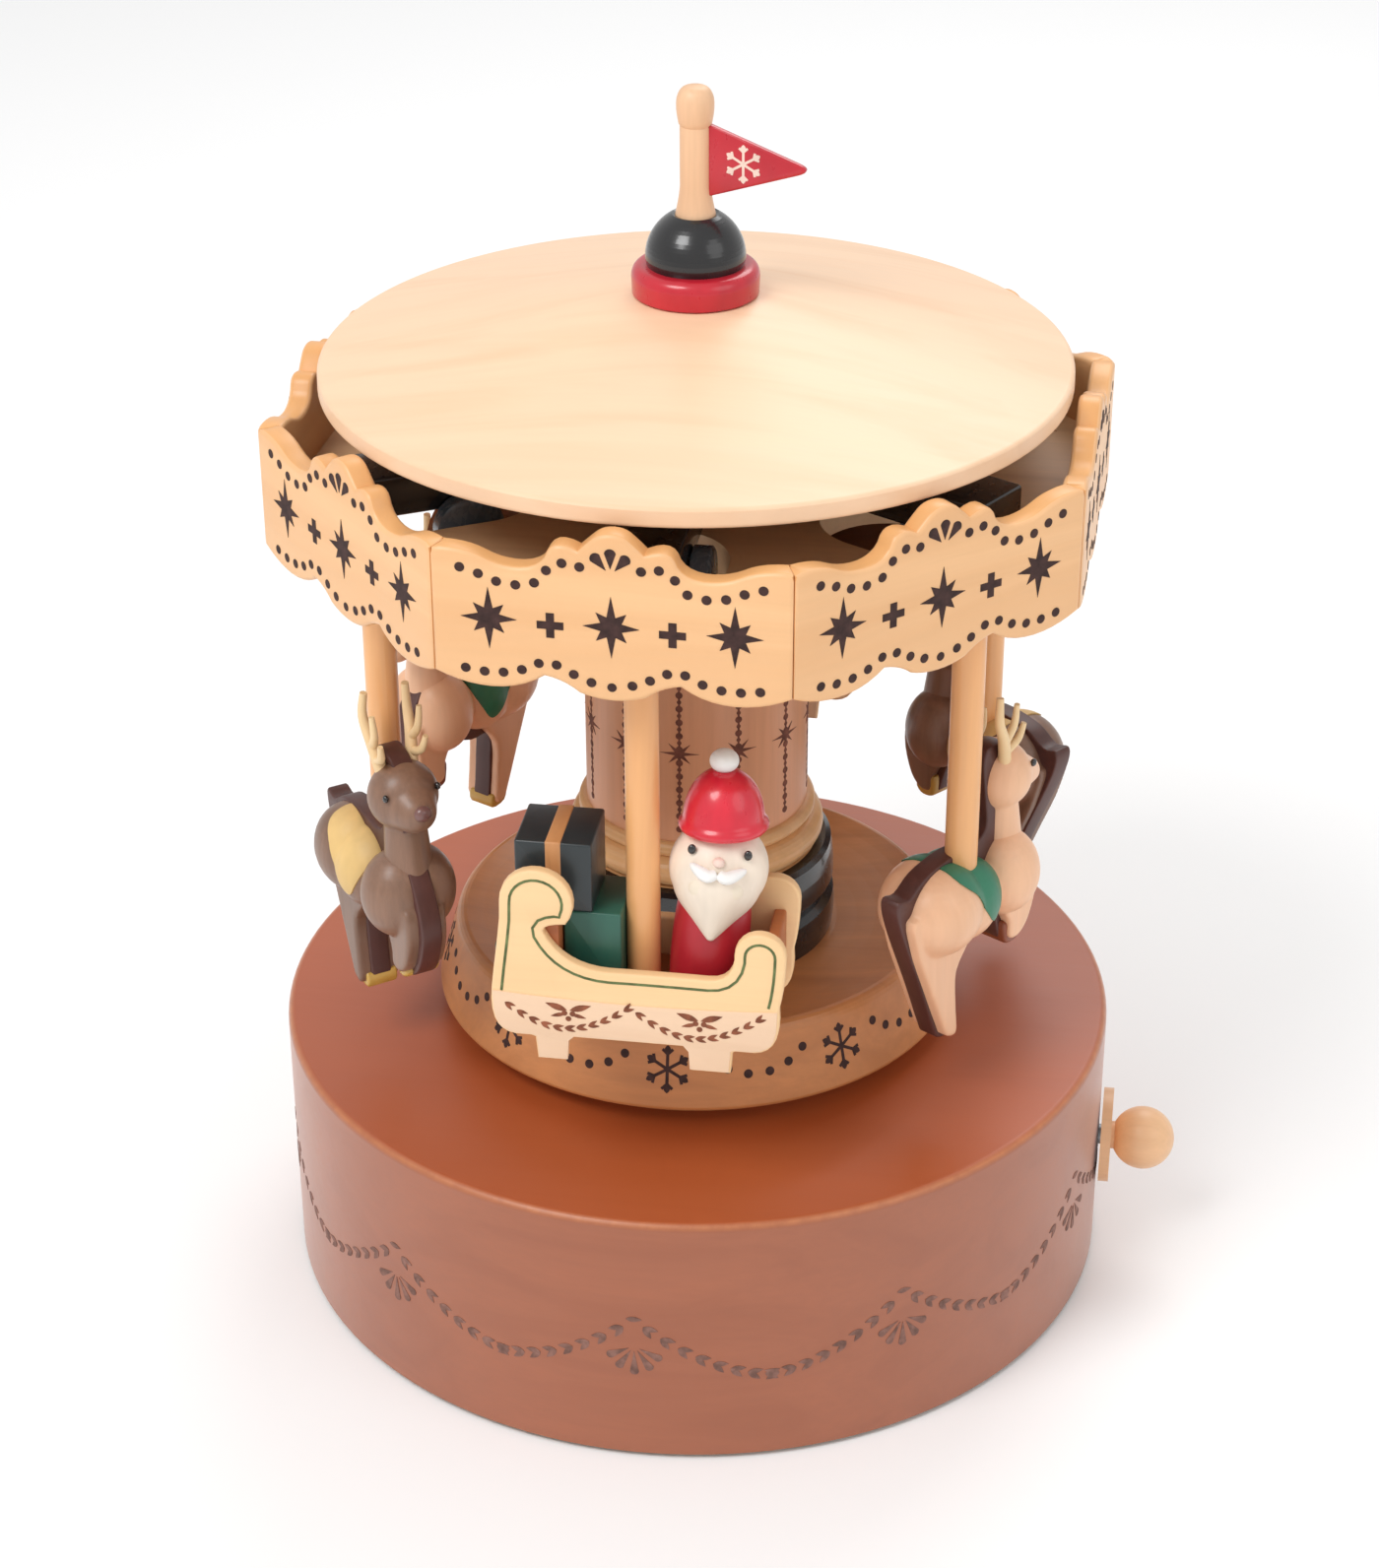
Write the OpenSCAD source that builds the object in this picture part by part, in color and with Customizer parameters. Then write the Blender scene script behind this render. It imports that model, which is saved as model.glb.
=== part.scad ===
// Wooden carousel music box: a drum holds the musical movement, and a canopy with six
// hanging carriages turns on a shaft that runs up through the column.
// Origin: middle of the underside. +Z up. The sleigh in front stands at -Y.
// Azimuths turn counter-clockwise from above, and 0 is the front sleigh.

/* [Drum] */
// Outer radius of the drum
drum_r = 65; // [60:0.5:70]
// Height of the drum's top face above the ground
drum_top = 42.5; // [40:0.5:50]
// Thickness of the drum's side wall
drum_wall = 10; // [8:0.5:12]
// Thickness of the drum's top
drum_roof = 6; // [4:0.5:8]
// Thickness of the felt pad under the drum
felt_t = 0.8; // [0.6:0.1:1.2]
// Thickness of the bottom cover
cover_t = 3; // [2.5:0.5:4]

/* [Column] */
// Radius of the column
column_r = 17; // [15:0.5:18]
// Height at which the column ends
column_top = 116; // [114:0.5:118]
// Largest radius of the plinth
plinth_r = 40.7; // [38:0.1:41]

/* [Winding knob] */
// Height of the knob's axis
knob_z = 20; // [19:0.5:22]
// Diameter of the knob's disc
knob_disc_d = 15; // [12:0.5:18]
// Diameter of the knob's ball
knob_ball_d = 10; // [8:0.5:12]

/* [Canopy] */
// Distance between opposite corners of the octagonal fascia
fascia_d = 127; // [125:0.5:128]
// Thickness of a fascia board
fascia_t = 3.5; // [2.5:0.1:4]
// Angle from the front sleigh to the middle of the nearest fascia board
canopy_turn = -2.2; // [-5:0.1:5]
// Top face of the ceiling board
board_top = 133; // [132.5:0.1:133]
// Thickness of the ceiling board
board_t = 5; // [4:0.5:5]
// Underside of the roof
roof_z = 146.4; // [146.4:0.1:147]
// Height of the roof's upper rim and of its middle
roof_heights = [149.3, 158.8];
// Radius of the roof
roof_r = 54.4; // [53:0.1:54.5]

/* [Carriages] */
// Radius of the circle on which the poles hang
pole_circle_r = 49.2; // [48:0.1:49.5]
// Diameter of a pole
pole_d = 4.8; // [4:0.1:5]
// Height of each carriage above the middle of its travel, first to sixth
bob_rest = [-2.6, -0.6, 0, 2.6, 1.8, -2.6];
// Half of the carriages' vertical travel
bob_half = 3; // [2:0.1:3]
// Width and height of an arm
arm_size = [10, 6.2];
// Underside of an arm at the middle of its travel
arm_z = 136.2; // [136.2:0.1:136.6]

/* [Sleigh] */
// Distance from the middle of the sleigh to the middle of a side board
sleigh_half_w = 8; // [7:0.1:8.5]
// Thickness of a side board
sleigh_board_t = 1.8; // [1.5:0.1:2.2]

/* [Reindeer] */
// Thickness of a reindeer's middle plate
deer_plate_t = 3.3; // [3:0.1:3.6]
// Distance of the plate inwards from the pole circle
deer_plate_in = 2; // [1.5:0.1:3]
// Outward shift, lift and turn of each reindeer on its pole, first to fourth
deer_place = [[0.6, 0.5, -2], [4, -2, 20], [-0.4, 2.4, 3], [4, 2.2, 8]];

/* [Hidden] */
$fn = 96;
eps = 0.05;

// Wood and paint colours
cherry = "#9a4a33";
beech = "#e9c9a0";
cream = "#f3dfc2";
tan_wood = "#dba765";
walnut = "#4b3028";
brown_wood = "#8a5330";
brass_tone = "#c9a24a";
steel_tone = "#b9bcc0";

// Drum interior
drum_in_r = drum_r - drum_wall;
cover_r = drum_r - 6;
cover_z = felt_t;
cavity_z = cover_z + cover_t;
cavity_top = drum_top - drum_roof;
screw_circle_r = (cover_r + drum_in_r) / 2;
screw_r = 1.2;
screw_head_r = 1.9;
screw_head_h = 1.2;
cover_screw_len = 9;
edge_r = 1.2;

// Shaft and movement
shaft_r = 2;
running_gap = 0.05;
bush_r = 4.5;
bush_len = 8;
bedplate_t = 3;
bedplate_top = cavity_z + bedplate_t;
gear_module = 0.8;
drive_teeth = 24;
pin_teeth = 12;
gear_z = 27;
gear_t = 3;
barrel_x = gear_module * drive_teeth;
pin_x = -gear_module * (drive_teeth + pin_teeth) / 2;
barrel_r = 14;
pin_r = 7.5;
arbor_r = 1.5;
movement_z = 9;
fan_at = [-22, -24];
shaft_top = 152;
knob_disc_x = drum_r + 0.4;
knob_disc_t = 1.6;
knob_ball_x = 72;
wind_shaft_r = 1.6;
wind_shaft_in = 36;

// Canopy
fascia_apothem = fascia_d / 2 * cos(22.5);
board_apothem = fascia_apothem - fascia_t;
hub_r = 21.5;
slot_w = 20;
slot_in = 25;
slot_out = 53.9;
arm_in = 14;
arm_out = 53.5;
arm_gap = 0.2;
roller_r = 5;
roller_at = 37;
roller_x = 5;
roller_w = 3;
cam_r = 40;
cam_mid_z = arm_z - 7.6 - 6.3;
cam_tilt = atan(bob_half / roller_at);
cam_azimuth = 165;
ring_z = 158.8;
dome_z = 163.2;
staff_z = 169.2;
staff_r = 2.45;
cap_r = 2.9;
cap_z = 185.9;
flag_turn = -7.2;
flag_t = 1.2;

// Carriages: which azimuth each one hangs at
carriage_step = 60;
pole_in_arm = 4;
sleigh_floor_z = 76.6;
sleigh_floor_t = 1.8;
deer_hole_z = 79;

// ---- Helpers -------------------------------------------------------------

// Points of an arc round [x, y] with radius r, from angle a to angle b in n steps
function arc(x, y, r, a, b, n = 8) =
    [for (i = [0 : n]) [x + r * cos(a + (b - a) * i / n), y + r * sin(a + (b - a) * i / n)]];

// Quadratic curve from a to c that leans towards b, without its first point
function bend(a, b, c, n = 5) =
    [for (i = [1 : n]) let (t = i / n) (1 - t) * (1 - t) * a + 2 * t * (1 - t) * b + t * t * c];

// Closed smooth curve through the points of p, n steps between neighbours
function smooth(p, n = 4) = [
    for (i = [0 : len(p) - 1], j = [0 : n - 1])
        let (
            a = p[(i + len(p) - 1) % len(p)], b = p[i],
            c = p[(i + 1) % len(p)], d = p[(i + 2) % len(p)], t = j / n
        )
        0.5 * (2 * b + (c - a) * t + (2 * a - 5 * b + 4 * c - d) * t * t
            + (3 * b - a - 3 * c + d) * t * t * t)
];

// Places a carriage's piece: its own frame has the pole at the origin of X and Y,
// travels towards +X, and has the middle of its vertical travel as drawn
module carriage(i) {
    rotate([0, 0, carriage_step * (i - 1)])
        translate([0, -pole_circle_r, bob_rest[i - 1]]) children();
}

// Extrudes an outline drawn in X and Z, t thick, with its middle at y
module upright(y, t) {
    translate([0, y + t / 2, 0]) rotate([90, 0, 0]) linear_extrude(t) children();
}

// Spur gear outline with straight-sided teeth
module gear_outline(teeth) {
    pitch_r = gear_module * teeth / 2;
    root_r = pitch_r - 1.15 * gear_module;
    tip_r = pitch_r + 0.8 * gear_module;
    root_half = 0.30 * 360 / teeth;
    pitch_half = 0.22 * 360 / teeth;
    tip_half = 0.11 * 360 / teeth;
    polygon([
        for (i = [0 : teeth - 1], k = [
            [root_r, -root_half], [pitch_r, -pitch_half], [tip_r, -tip_half],
            [tip_r, tip_half], [pitch_r, pitch_half], [root_r, root_half]
        ])
            let (a = 360 * i / teeth + k[1]) k[0] * [cos(a), sin(a)]
    ]);
}

module countersunk_screw(len) {
    cylinder(r1 = screw_head_r, r2 = screw_r, h = screw_head_h);
    translate([0, 0, screw_head_h]) cylinder(r = screw_r, h = len - screw_head_h);
}

// ---- Drum ----------------------------------------------------------------

module cover_screw_places() {
    for (a = [45 : 90 : 315])
        rotate([0, 0, a]) translate([screw_circle_r, 0, cover_z]) children();
}

module drum() {
    color(cherry) difference() {
        rotate_extrude() polygon(concat(
            [[drum_in_r, cavity_z], [cover_r, cavity_z], [cover_r, cover_z], [drum_r, cover_z]],
            arc(drum_r - edge_r, drum_top - edge_r, edge_r, 0, 90),
            [[bush_r, drum_top], [bush_r, cavity_top], [drum_in_r, cavity_top]]
        ));
        translate([0, 0, knob_z]) rotate([0, 90, 0])
            cylinder(r = wind_shaft_r + running_gap, h = drum_r + 1);
        cover_screw_places() cylinder(r = screw_r, h = cover_screw_len);
    }
}

module base_cover() {
    color(tan_wood) difference() {
        translate([0, 0, cover_z]) cylinder(r = cover_r, h = cover_t);
        cover_screw_places() countersunk_screw(cover_t + 1);
        movement_screw_places() translate([0, 0, 1]) cylinder(r = screw_r, h = cover_t);
    }
}

module felt_pad() {
    color("darkgreen") cylinder(r = drum_r - 1, h = felt_t);
}

module cover_screws() {
    color(steel_tone) cover_screw_places() countersunk_screw(cover_screw_len);
}

module plinth() {
    color(beech) difference() {
        rotate_extrude() polygon(concat(
            [[0, drum_top], [36, drum_top], [36, 45.5], [plinth_r - 0.6, 45.5]],
            bend([plinth_r - 0.6, 45.5], [plinth_r, 45.6], [plinth_r, 46.3]),
            bend([38, 55.6], [37.6, 57.7], [36.2, 57.7]),
            bend([36.2, 57.7], [30, 56.2], [22, 55.8]),
            [[0, 55.8]]
        ));
        translate([0, 0, drum_top - 1]) cylinder(r = bush_r, h = 20);
    }
}

module pedestal_ring() {
    color("#1d1a1b") difference() {
        rotate_extrude() polygon(concat(
            [[0, 55.8], [21.2, 55.8]],
            bend([21.2, 55.8], [21.7, 59], [21.3, 61.2]),
            [[20.2, 61.9]],
            bend([21.2, 62.6], [21.4, 67], [20.8, 70.2]),
            [[20, 70.7], [0, 70.7]]
        ));
        translate([0, 0, 55]) cylinder(r = bush_r, h = 20);
    }
}

module column_collar() {
    color(beech) difference() {
        rotate_extrude() polygon(concat(
            [[0, 70.7], [18.6, 70.7]],
            arc(17.2, 73.2, 2.35, -80, 78, 10),
            arc(17, 76.75, 1.25, -70, 90, 8),
            [[0, 78]]
        ));
        translate([0, 0, 70]) cylinder(r = bush_r, h = 9);
    }
}

module column() {
    color("#e6bf9d") difference() {
        translate([0, 0, 78]) cylinder(r = column_r, h = column_top - 78);
        translate([0, 0, 77]) cylinder(r = bush_r, h = 40);
    }
}

// Tilted ring under the carriages: its high side lifts them as the canopy turns
module cam_ring() {
    color(brown_wood) difference() {
        translate([0, 0, column_top]) cylinder(r = cam_r, h = 12);
        translate([0, 0, column_top - 1]) cylinder(r = bush_r, h = 14);
        translate([0, 0, cam_mid_z]) rotate([0, 0, cam_azimuth]) rotate([-cam_tilt, 0, 0])
            translate([-50, -50, 0]) cube([100, 100, 20]);
    }
}

module shaft_bush() {
    color(brass_tone) difference() {
        translate([0, 0, column_top - bush_len]) cylinder(r = bush_r, h = bush_len);
        translate([0, 0, column_top - bush_len - 1])
            cylinder(r = shaft_r + running_gap, h = bush_len + 2);
    }
}

// ---- Musical movement ----------------------------------------------------

module movement_screw_places() {
    for (x = [-32, 38], y = [-30, 22]) translate([x, y, cover_z]) children();
}

module movement_bedplate() {
    color(brass_tone) difference() {
        translate([-36, -34, cavity_z]) cube([78, 60, bedplate_t]);
        translate([0, 0, cavity_z - 1]) cylinder(r = shaft_r + running_gap, h = 6);
        for (x = [barrel_x, pin_x]) translate([x, 0, cavity_z - 1])
            cylinder(r = arbor_r + running_gap, h = 6);
        translate([fan_at[0], fan_at[1], cavity_z + 1]) cylinder(r = 0.8 + running_gap, h = 6);
        movement_screw_places() cylinder(r = screw_r, h = 20);
    }
}

module movement_screws() {
    color(steel_tone) movement_screw_places() {
        translate([0, 0, 1]) cylinder(r = screw_r, h = bedplate_top - cover_z - 1);
        translate([0, 0, bedplate_top - cover_z]) difference() {
            cylinder(r = 2.3, h = 1.4);
            translate([-3, -0.3, 0.8]) cube([6, 0.6, 1]);
        }
    }
}

// Steel comb: a plate whose slits free the tuned teeth next to the pinned cylinder
module comb() {
    color(steel_tone) difference() {
        translate([pin_x - 0.6, pin_r + 0.9, bedplate_top]) cube([1.2, 16, 18]);
        for (i = [0 : 13])
            translate([pin_x - 1, pin_r, movement_z + 0.9 + 1.05 * i]) cube([2, 11, 0.35]);
        translate([pin_x - 1, pin_r, bedplate_top - 1]) cube([2, 11, movement_z + 1 - bedplate_top]);
    }
}

module governor_housing() {
    color(brass_tone) difference() {
        translate([fan_at[0] - 7, fan_at[1] - 3, bedplate_top]) cube([14, 6, 17]);
        translate([fan_at[0] - 5.8, fan_at[1] - 4, bedplate_top - 1]) cube([11.6, 8, 16.6]);
        translate([fan_at[0], fan_at[1], bedplate_top + 14]) cylinder(r = 0.8 + running_gap, h = 4);
    }
}

module spring_barrel() {
    color(brass_tone) translate([barrel_x, 0, 0]) {
        translate([0, 0, movement_z]) cylinder(r = barrel_r, h = 13);
        translate([0, 0, cavity_z]) cylinder(r = arbor_r, h = 30);
        translate([0, 0, movement_z + 13]) cylinder(r = 4, h = gear_z - movement_z - 12.5);
        translate([0, 0, gear_z]) rotate([0, 0, 180 / drive_teeth])
            linear_extrude(gear_t) gear_outline(drive_teeth);
    }
}

// Cylinder with the tune's pins in a winding pattern
module pin_cylinder() {
    color(brass_tone) translate([pin_x, 0, 0]) {
        translate([0, 0, movement_z]) cylinder(r = pin_r, h = 16);
        translate([0, 0, cavity_z]) cylinder(r = arbor_r, h = 30);
        translate([0, 0, movement_z + 15]) cylinder(r = 3, h = gear_z - movement_z - 14.5);
        translate([0, 0, gear_z]) rotate([0, 0, 180 / pin_teeth])
            linear_extrude(gear_t) gear_outline(pin_teeth);
        for (i = [0 : 13]) rotate([0, 0, 137 * i])
            translate([pin_r - 0.3, 0, movement_z + 0.9 + 1.05 * i]) rotate([0, 90, 0])
                cylinder(r = 0.25, h = 0.9, $fn = 16);
    }
}

module governor_fan() {
    color(steel_tone) translate([fan_at[0], fan_at[1], 0]) {
        translate([0, 0, cavity_z + 1.2]) cylinder(r = 0.8, h = 18.6);
        translate([-4.6, -0.4, bedplate_top + 3]) cube([9.2, 0.8, 9]);
    }
}

// ---- Winding knob --------------------------------------------------------

module wind_disc() {
    color(beech) translate([knob_disc_x, 0, knob_z]) rotate([0, 90, 0]) difference() {
        cylinder(d = knob_disc_d, h = knob_disc_t);
        translate([0, 0, -1]) cylinder(r = wind_shaft_r, h = knob_disc_t + 2);
    }
}

module wind_ball() {
    color(beech) translate([0, 0, knob_z]) difference() {
        union() {
            translate([knob_ball_x, 0, 0]) sphere(d = knob_ball_d);
            translate([knob_disc_x + knob_disc_t, 0, 0]) rotate([0, 90, 0]) cylinder(r = 2.2, h = 3);
        }
        translate([knob_disc_x, 0, 0]) rotate([0, 90, 0])
            cylinder(r = wind_shaft_r, h = knob_ball_x - knob_disc_x);
    }
}

module wind_shaft() {
    color(steel_tone) translate([wind_shaft_in, 0, knob_z]) rotate([0, 90, 0]) {
        cylinder(r = wind_shaft_r, h = knob_ball_x - wind_shaft_in);
        cylinder(r = 4, h = 4);
    }
}

// ---- Canopy --------------------------------------------------------------

module drive_shaft() {
    color(steel_tone) translate([0, 0, cavity_z]) cylinder(r = shaft_r, h = shaft_top - cavity_z);
}

module drive_gear() {
    color(brass_tone) translate([0, 0, gear_z]) difference() {
        linear_extrude(gear_t) gear_outline(drive_teeth);
        translate([0, 0, -1]) cylinder(r = shaft_r, h = gear_t + 2);
    }
}

module canopy_hub() {
    color(brown_wood) difference() {
        translate([0, 0, board_top]) cylinder(r = hub_r, h = roof_z - board_top);
        translate([0, 0, board_top - 1]) cylinder(r = shaft_r, h = 20);
        for (i = [0 : 5]) rotate([0, 0, carriage_step * i])
            translate([-arm_size[0] / 2 - arm_gap, -hub_r - 1, board_top - 1])
                cube([arm_size[0] + 2 * arm_gap, hub_r + 1 - arm_in + arm_gap, 20]);
    }
}

// Octagonal board with a round-ended slot under each arm
module ceiling_board() {
    color(beech) difference() {
        rotate([0, 0, canopy_turn + 22.5]) translate([0, 0, board_top - board_t])
            cylinder(r = board_apothem / cos(22.5), h = board_t, $fn = 8);
        translate([0, 0, board_top - board_t - 1]) cylinder(r = shaft_r, h = board_t + 2);
        for (i = [0 : 5]) rotate([0, 0, carriage_step * i])
            translate([0, 0, board_top - board_t - 1]) {
                translate([0, -slot_in - slot_w / 2, 0]) cylinder(d = slot_w, h = board_t + 2);
                translate([-slot_w / 2, -slot_out, 0])
                    cube([slot_w, slot_out - slot_in - slot_w / 2, board_t + 2]);
            }
    }
}

module canopy_roof() {
    color(cream) difference() {
        rotate_extrude() polygon(concat(
            [[0, roof_z], [roof_r - 0.5, roof_z]],
            bend([roof_r - 0.5, roof_z], [roof_r, roof_z], [roof_r, roof_z + 0.6]),
            bend([roof_r, 148.6], [roof_r, 149.2], [roof_r - 0.9, roof_heights[0]]),
            [[9, roof_heights[1]], [0, roof_heights[1]]]
        ));
        translate([0, 0, roof_z - 1]) cylinder(r = shaft_r, h = shaft_top - roof_z + 1);
    }
}

// One half of a fascia board's upper edge, from the middle to the right corner
fascia_top = concat(
    [[0, 147]], bend([0, 147], [1.6, 147], [2.6, 146]),
    bend([2.6, 146], [3.4, 145.3], [4.4, 144.3]),
    bend([4.4, 144.3], [7.4, 145.8], [8.5, 143.9]),
    bend([8.5, 143.9], [9.1, 141.6], [12.2, 141.3]),
    bend([12.2, 141.3], [15, 141.2], [17.2, 142.3]),
    bend([17.2, 142.3], [19.5, 143.5], [23, 143.5]), [[24.3, 142.4]]
);
// One half of the lower edge, from the right corner to the middle
fascia_bottom = concat(
    [[24.3, 125.3]], bend([24.3, 125.3], [20.4, 123.4], [16.5, 123.4]),
    bend([16.5, 123.4], [12.4, 123.4], [9.2, 125.7]),
    bend([9.2, 125.7], [6.6, 125.3], [4.5, 123.6]), bend([4.5, 123.6], [2.4, 122.8], [0, 122.8])
);
function mirrored(p) = [for (i = [len(p) - 1 : -1 : 0]) [-p[i][0], p[i][1]]];
fascia_right = concat(fascia_top, fascia_bottom);
fascia_left = mirrored([for (i = [1 : len(fascia_right) - 2]) fascia_right[i]]);

module fascia_boards() {
    joint_gap = 0.1;
    color(tan_wood) for (i = [0 : 7]) rotate([0, 0, canopy_turn + 45 * i]) intersection() {
        upright(-fascia_apothem + fascia_t / 2, fascia_t) polygon(concat(fascia_right, fascia_left));
        // Mitred ends, a hair short of the neighbouring board
        translate([0, 0, 120]) linear_extrude(30) polygon([
            [0, 0],
            [-fascia_apothem * tan(22.5) - 1.2 + joint_gap, -fascia_apothem - 3],
            [fascia_apothem * tan(22.5) + 1.2 - joint_gap, -fascia_apothem - 3]
        ]);
    }
}

module finial_ring() {
    color("#b3202c") rotate_extrude() polygon(concat(
        [[0, ring_z], [7.2, ring_z]], arc(7, ring_z + 2.2, 2.2, -85, 85, 10), [[0, dome_z]]
    ));
}

module finial_dome() {
    color("#1d1a1b") difference() {
        rotate_extrude() polygon(concat(
            [[0, dome_z], [7, dome_z]], arc(0, dome_z + 1, 7.2, 0, 62, 12), [[0, staff_z + 0.6]]
        ));
        translate([0, 0, staff_z - 2]) cylinder(r = staff_r, h = 4);
    }
}

module flag_staff() {
    color(tan_wood) {
        translate([0, 0, staff_z - 2]) cylinder(r = staff_r, h = cap_z - staff_z + 1);
        translate([0, 0, cap_z]) sphere(r = cap_r);
    }
}

module flag() {
    color("#b3202c") rotate([0, 0, flag_turn]) difference() {
        upright(0, flag_t) polygon(concat(
            [[2, 173.3]], bend([2, 173.3], [8, 174], [14.6, 176.6]),
            bend([14.6, 176.6], [10, 180], [2, 183.5])
        ));
        translate([0, 0, 170]) cylinder(r = staff_r, h = 15);
    }
}

// ---- Carriages -----------------------------------------------------------

// Arm that slides in the hub's groove, with the shoe that rides on the cam ring
module arm(i) {
    color("#1d1a1b") carriage(i) {
        difference() {
            translate([-arm_size[0] / 2, pole_circle_r - arm_out, arm_z])
                cube([arm_size[0], arm_out - arm_in, arm_size[1]]);
            translate([0, 0, arm_z - 1]) cylinder(d = pole_d, h = pole_in_arm + 1);
        }
        translate([roller_x, pole_circle_r - roller_at, arm_z - roller_r + 2.4]) rotate([0, 90, 0])
            cylinder(r = roller_r, h = roller_w);
    }
}

module pole(i, foot_z) {
    color(tan_wood) carriage(i) translate([0, 0, foot_z])
        cylinder(d = pole_d, h = arm_z + pole_in_arm - foot_z);
}

// ---- Sleighs -------------------------------------------------------------

// Side board outline: high scroll behind, low scroll in front, rail between them
sleigh_outline = concat(
    arc(-13.6, 93, 5.2, 180, -38, 12),
    bend([-9.5, 89.8], [-13.2, 89.6], [-12.6, 88.2]),
    bend([-12.6, 88.2], [-10, 82.7], [-3.5, 82.6]),
    bend([-3.5, 82.6], [3, 82.7], [10.4, 82.6]),
    bend([10.4, 82.6], [13.6, 82.5], [14.1, 86.2]),
    arc(17.7, 87, 3.6, 180, 0, 10),
    bend([21.3, 87], [21.2, 82], [20.4, 78.6]),
    bend([20.4, 78.6], [21, 71.5], [17, 71.2]),
    [[13.6, 71.2], [13.6, 67.5], [8, 67.5], [8, 71.2]],
    [[-9.7, 71.2], [-9.7, 67.5], [-13.9, 67.5], [-13.9, 71.2], [-17, 71.2]],
    bend([-17, 71.2], [-21, 71.5], [-20.3, 78.6])
);

module sleigh_sides(i) {
    color(cream) carriage(i) for (side = [-1, 1])
        upright(side * sleigh_half_w, sleigh_board_t) polygon(sleigh_outline);
}

// Floor, raised seat, back and front boards between the two sides
module sleigh_bed(i) {
    half = sleigh_half_w - sleigh_board_t / 2;
    color(brown_wood) carriage(i) difference() {
        union() {
            translate([-19, -half, sleigh_floor_z - sleigh_floor_t])
                cube([38, 2 * half, sleigh_floor_t]);
            translate([-17.4, -half, sleigh_floor_z - eps]) cube([6.6, 2 * half, 12.9 + eps]);
            translate([-20, -half, sleigh_floor_z - eps]) cube([2.7, 2 * half, 8.5]);
            translate([17.6, -half, sleigh_floor_z - eps]) cube([1.8, 2 * half, 9]);
        }
        translate([0, 0, sleigh_floor_z - 5]) cylinder(d = pole_d, h = 10);
    }
}

module gift(i, x, y, z, size) {
    carriage(i) translate([x - size[0] / 2, y - size[1] / 2, z]) cube(size);
}

module gift_green() {
    color("#1f5a45") gift(1, -6.5, 0.9, sleigh_floor_z, [8.2, 10.8, 12.9]);
}

module gift_black() {
    color("#20282c") gift(1, -11.9, 0.9, sleigh_floor_z + 12.9, [10.9, 10.8, 10.8]);
}

module rear_gifts() {
    color("#b3202c") {
        gift(4, -11.9, 0, sleigh_floor_z + 12.9, [9.4, 10, 8.6]);
        gift(4, 9, 0, sleigh_floor_z, [9, 11, 11]);
    }
}

// Bearded figure that stands in the front sleigh
figure_at = [8.8, 0];
// Lean to the back, lean to the front of the sleigh, turn of the face
figure_lean = [7, 5.4, 4.5];
figure_neck_z = 90.4;
figure_rim_z = 100.9;

module figure_place() {
    carriage(1) translate([figure_at[0], figure_at[1], sleigh_floor_z])
        rotate([-figure_lean[0], figure_lean[1], figure_lean[2]])
            translate([0, 0, -sleigh_floor_z]) children();
}

module figure_body() {
    color("#a51e2a") difference() {
        figure_place() rotate_extrude() polygon(concat(
            [[0, sleigh_floor_z - 1.2], [5.2, sleigh_floor_z - 1.2], [5.2, sleigh_floor_z]],
            bend([5.2, sleigh_floor_z], [5.8, 84], [5, figure_neck_z]), [[0, figure_neck_z]]
        ));
        carriage(1) translate([-5, -15, sleigh_floor_z - 10]) cube([30, 30, 10]);
    }
}

module figure_head() {
    color("#f5ead9") figure_place() difference() {
        union() {
            translate([0, 0, 94.8]) sphere(r = 6.9);
            translate([0, -5.5, 86.4]) rotate([-28.7, 0, 0]) cylinder(r1 = 0.6, r2 = 5.8, h = 9.8);
        }
        translate([-9, -9, figure_rim_z]) cube([18, 18, 5]);
        translate([0, 0, figure_neck_z - 10]) cylinder(r = 5.5, h = 10.02);
    }
}

module figure_hat() {
    color("#c0202c") figure_place() {
        rotate_extrude() polygon(concat(
            [[0, figure_rim_z], [5.9, figure_rim_z]], bend([5.9, figure_rim_z], [6.5, 101.5], [6, 102.2]),
            bend([6, 102.2], [5.4, 107], [2, 109.2]), [[0, 109.7]]
        ));
        translate([0, 0, 110.9]) sphere(r = 2);
    }
}

// ---- Reindeer ------------------------------------------------------------

// Side view of the middle plate: body, raised front leg, hind leg, neck and mane
deer_plate = smooth([
    [-2.7, 84.9], [-8.7, 84.2], [-12.4, 82.2], [-15, 82.6], [-15.3, 80.2], [-13.9, 75.5],
    [-9.2, 65.1], [-5.6, 57], [-4.2, 54.4], [-1.3, 54.2], [-1.6, 58], [-2, 62.4], [-2, 67.4],
    [2.4, 68.1], [7.9, 70.2], [9.2, 68.6], [10.6, 64.6], [13.4, 64.1], [16.4, 66.6], [18.6, 72.5],
    [17.6, 78], [13.8, 83.4], [13.4, 87.6], [18.9, 88.8], [19.8, 90.6], [14.6, 95.8],
    [10.4, 98.9], [6.6, 99.8], [4.8, 97.8], [5.8, 91], [6.2, 86], [3, 84.3]
]);

// Side view of one antler
antler = smooth([
    [7.4, 95.2], [5.6, 101], [3.4, 104.4], [4.4, 109.4], [5.8, 109.2], [5.4, 105.2], [6.9, 103],
    [7.8, 106.6], [9.1, 106.2], [8.5, 101.6], [10.2, 102.9], [11.2, 101.8], [9.6, 95.4]
]);

// Puts reindeer d where it is glued on the pole of its carriage
module deer_at(d) {
    place = deer_place[d - 1];
    rotate([0, 0, place[2]]) translate([0, -place[0], place[1]]) children();
}

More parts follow.
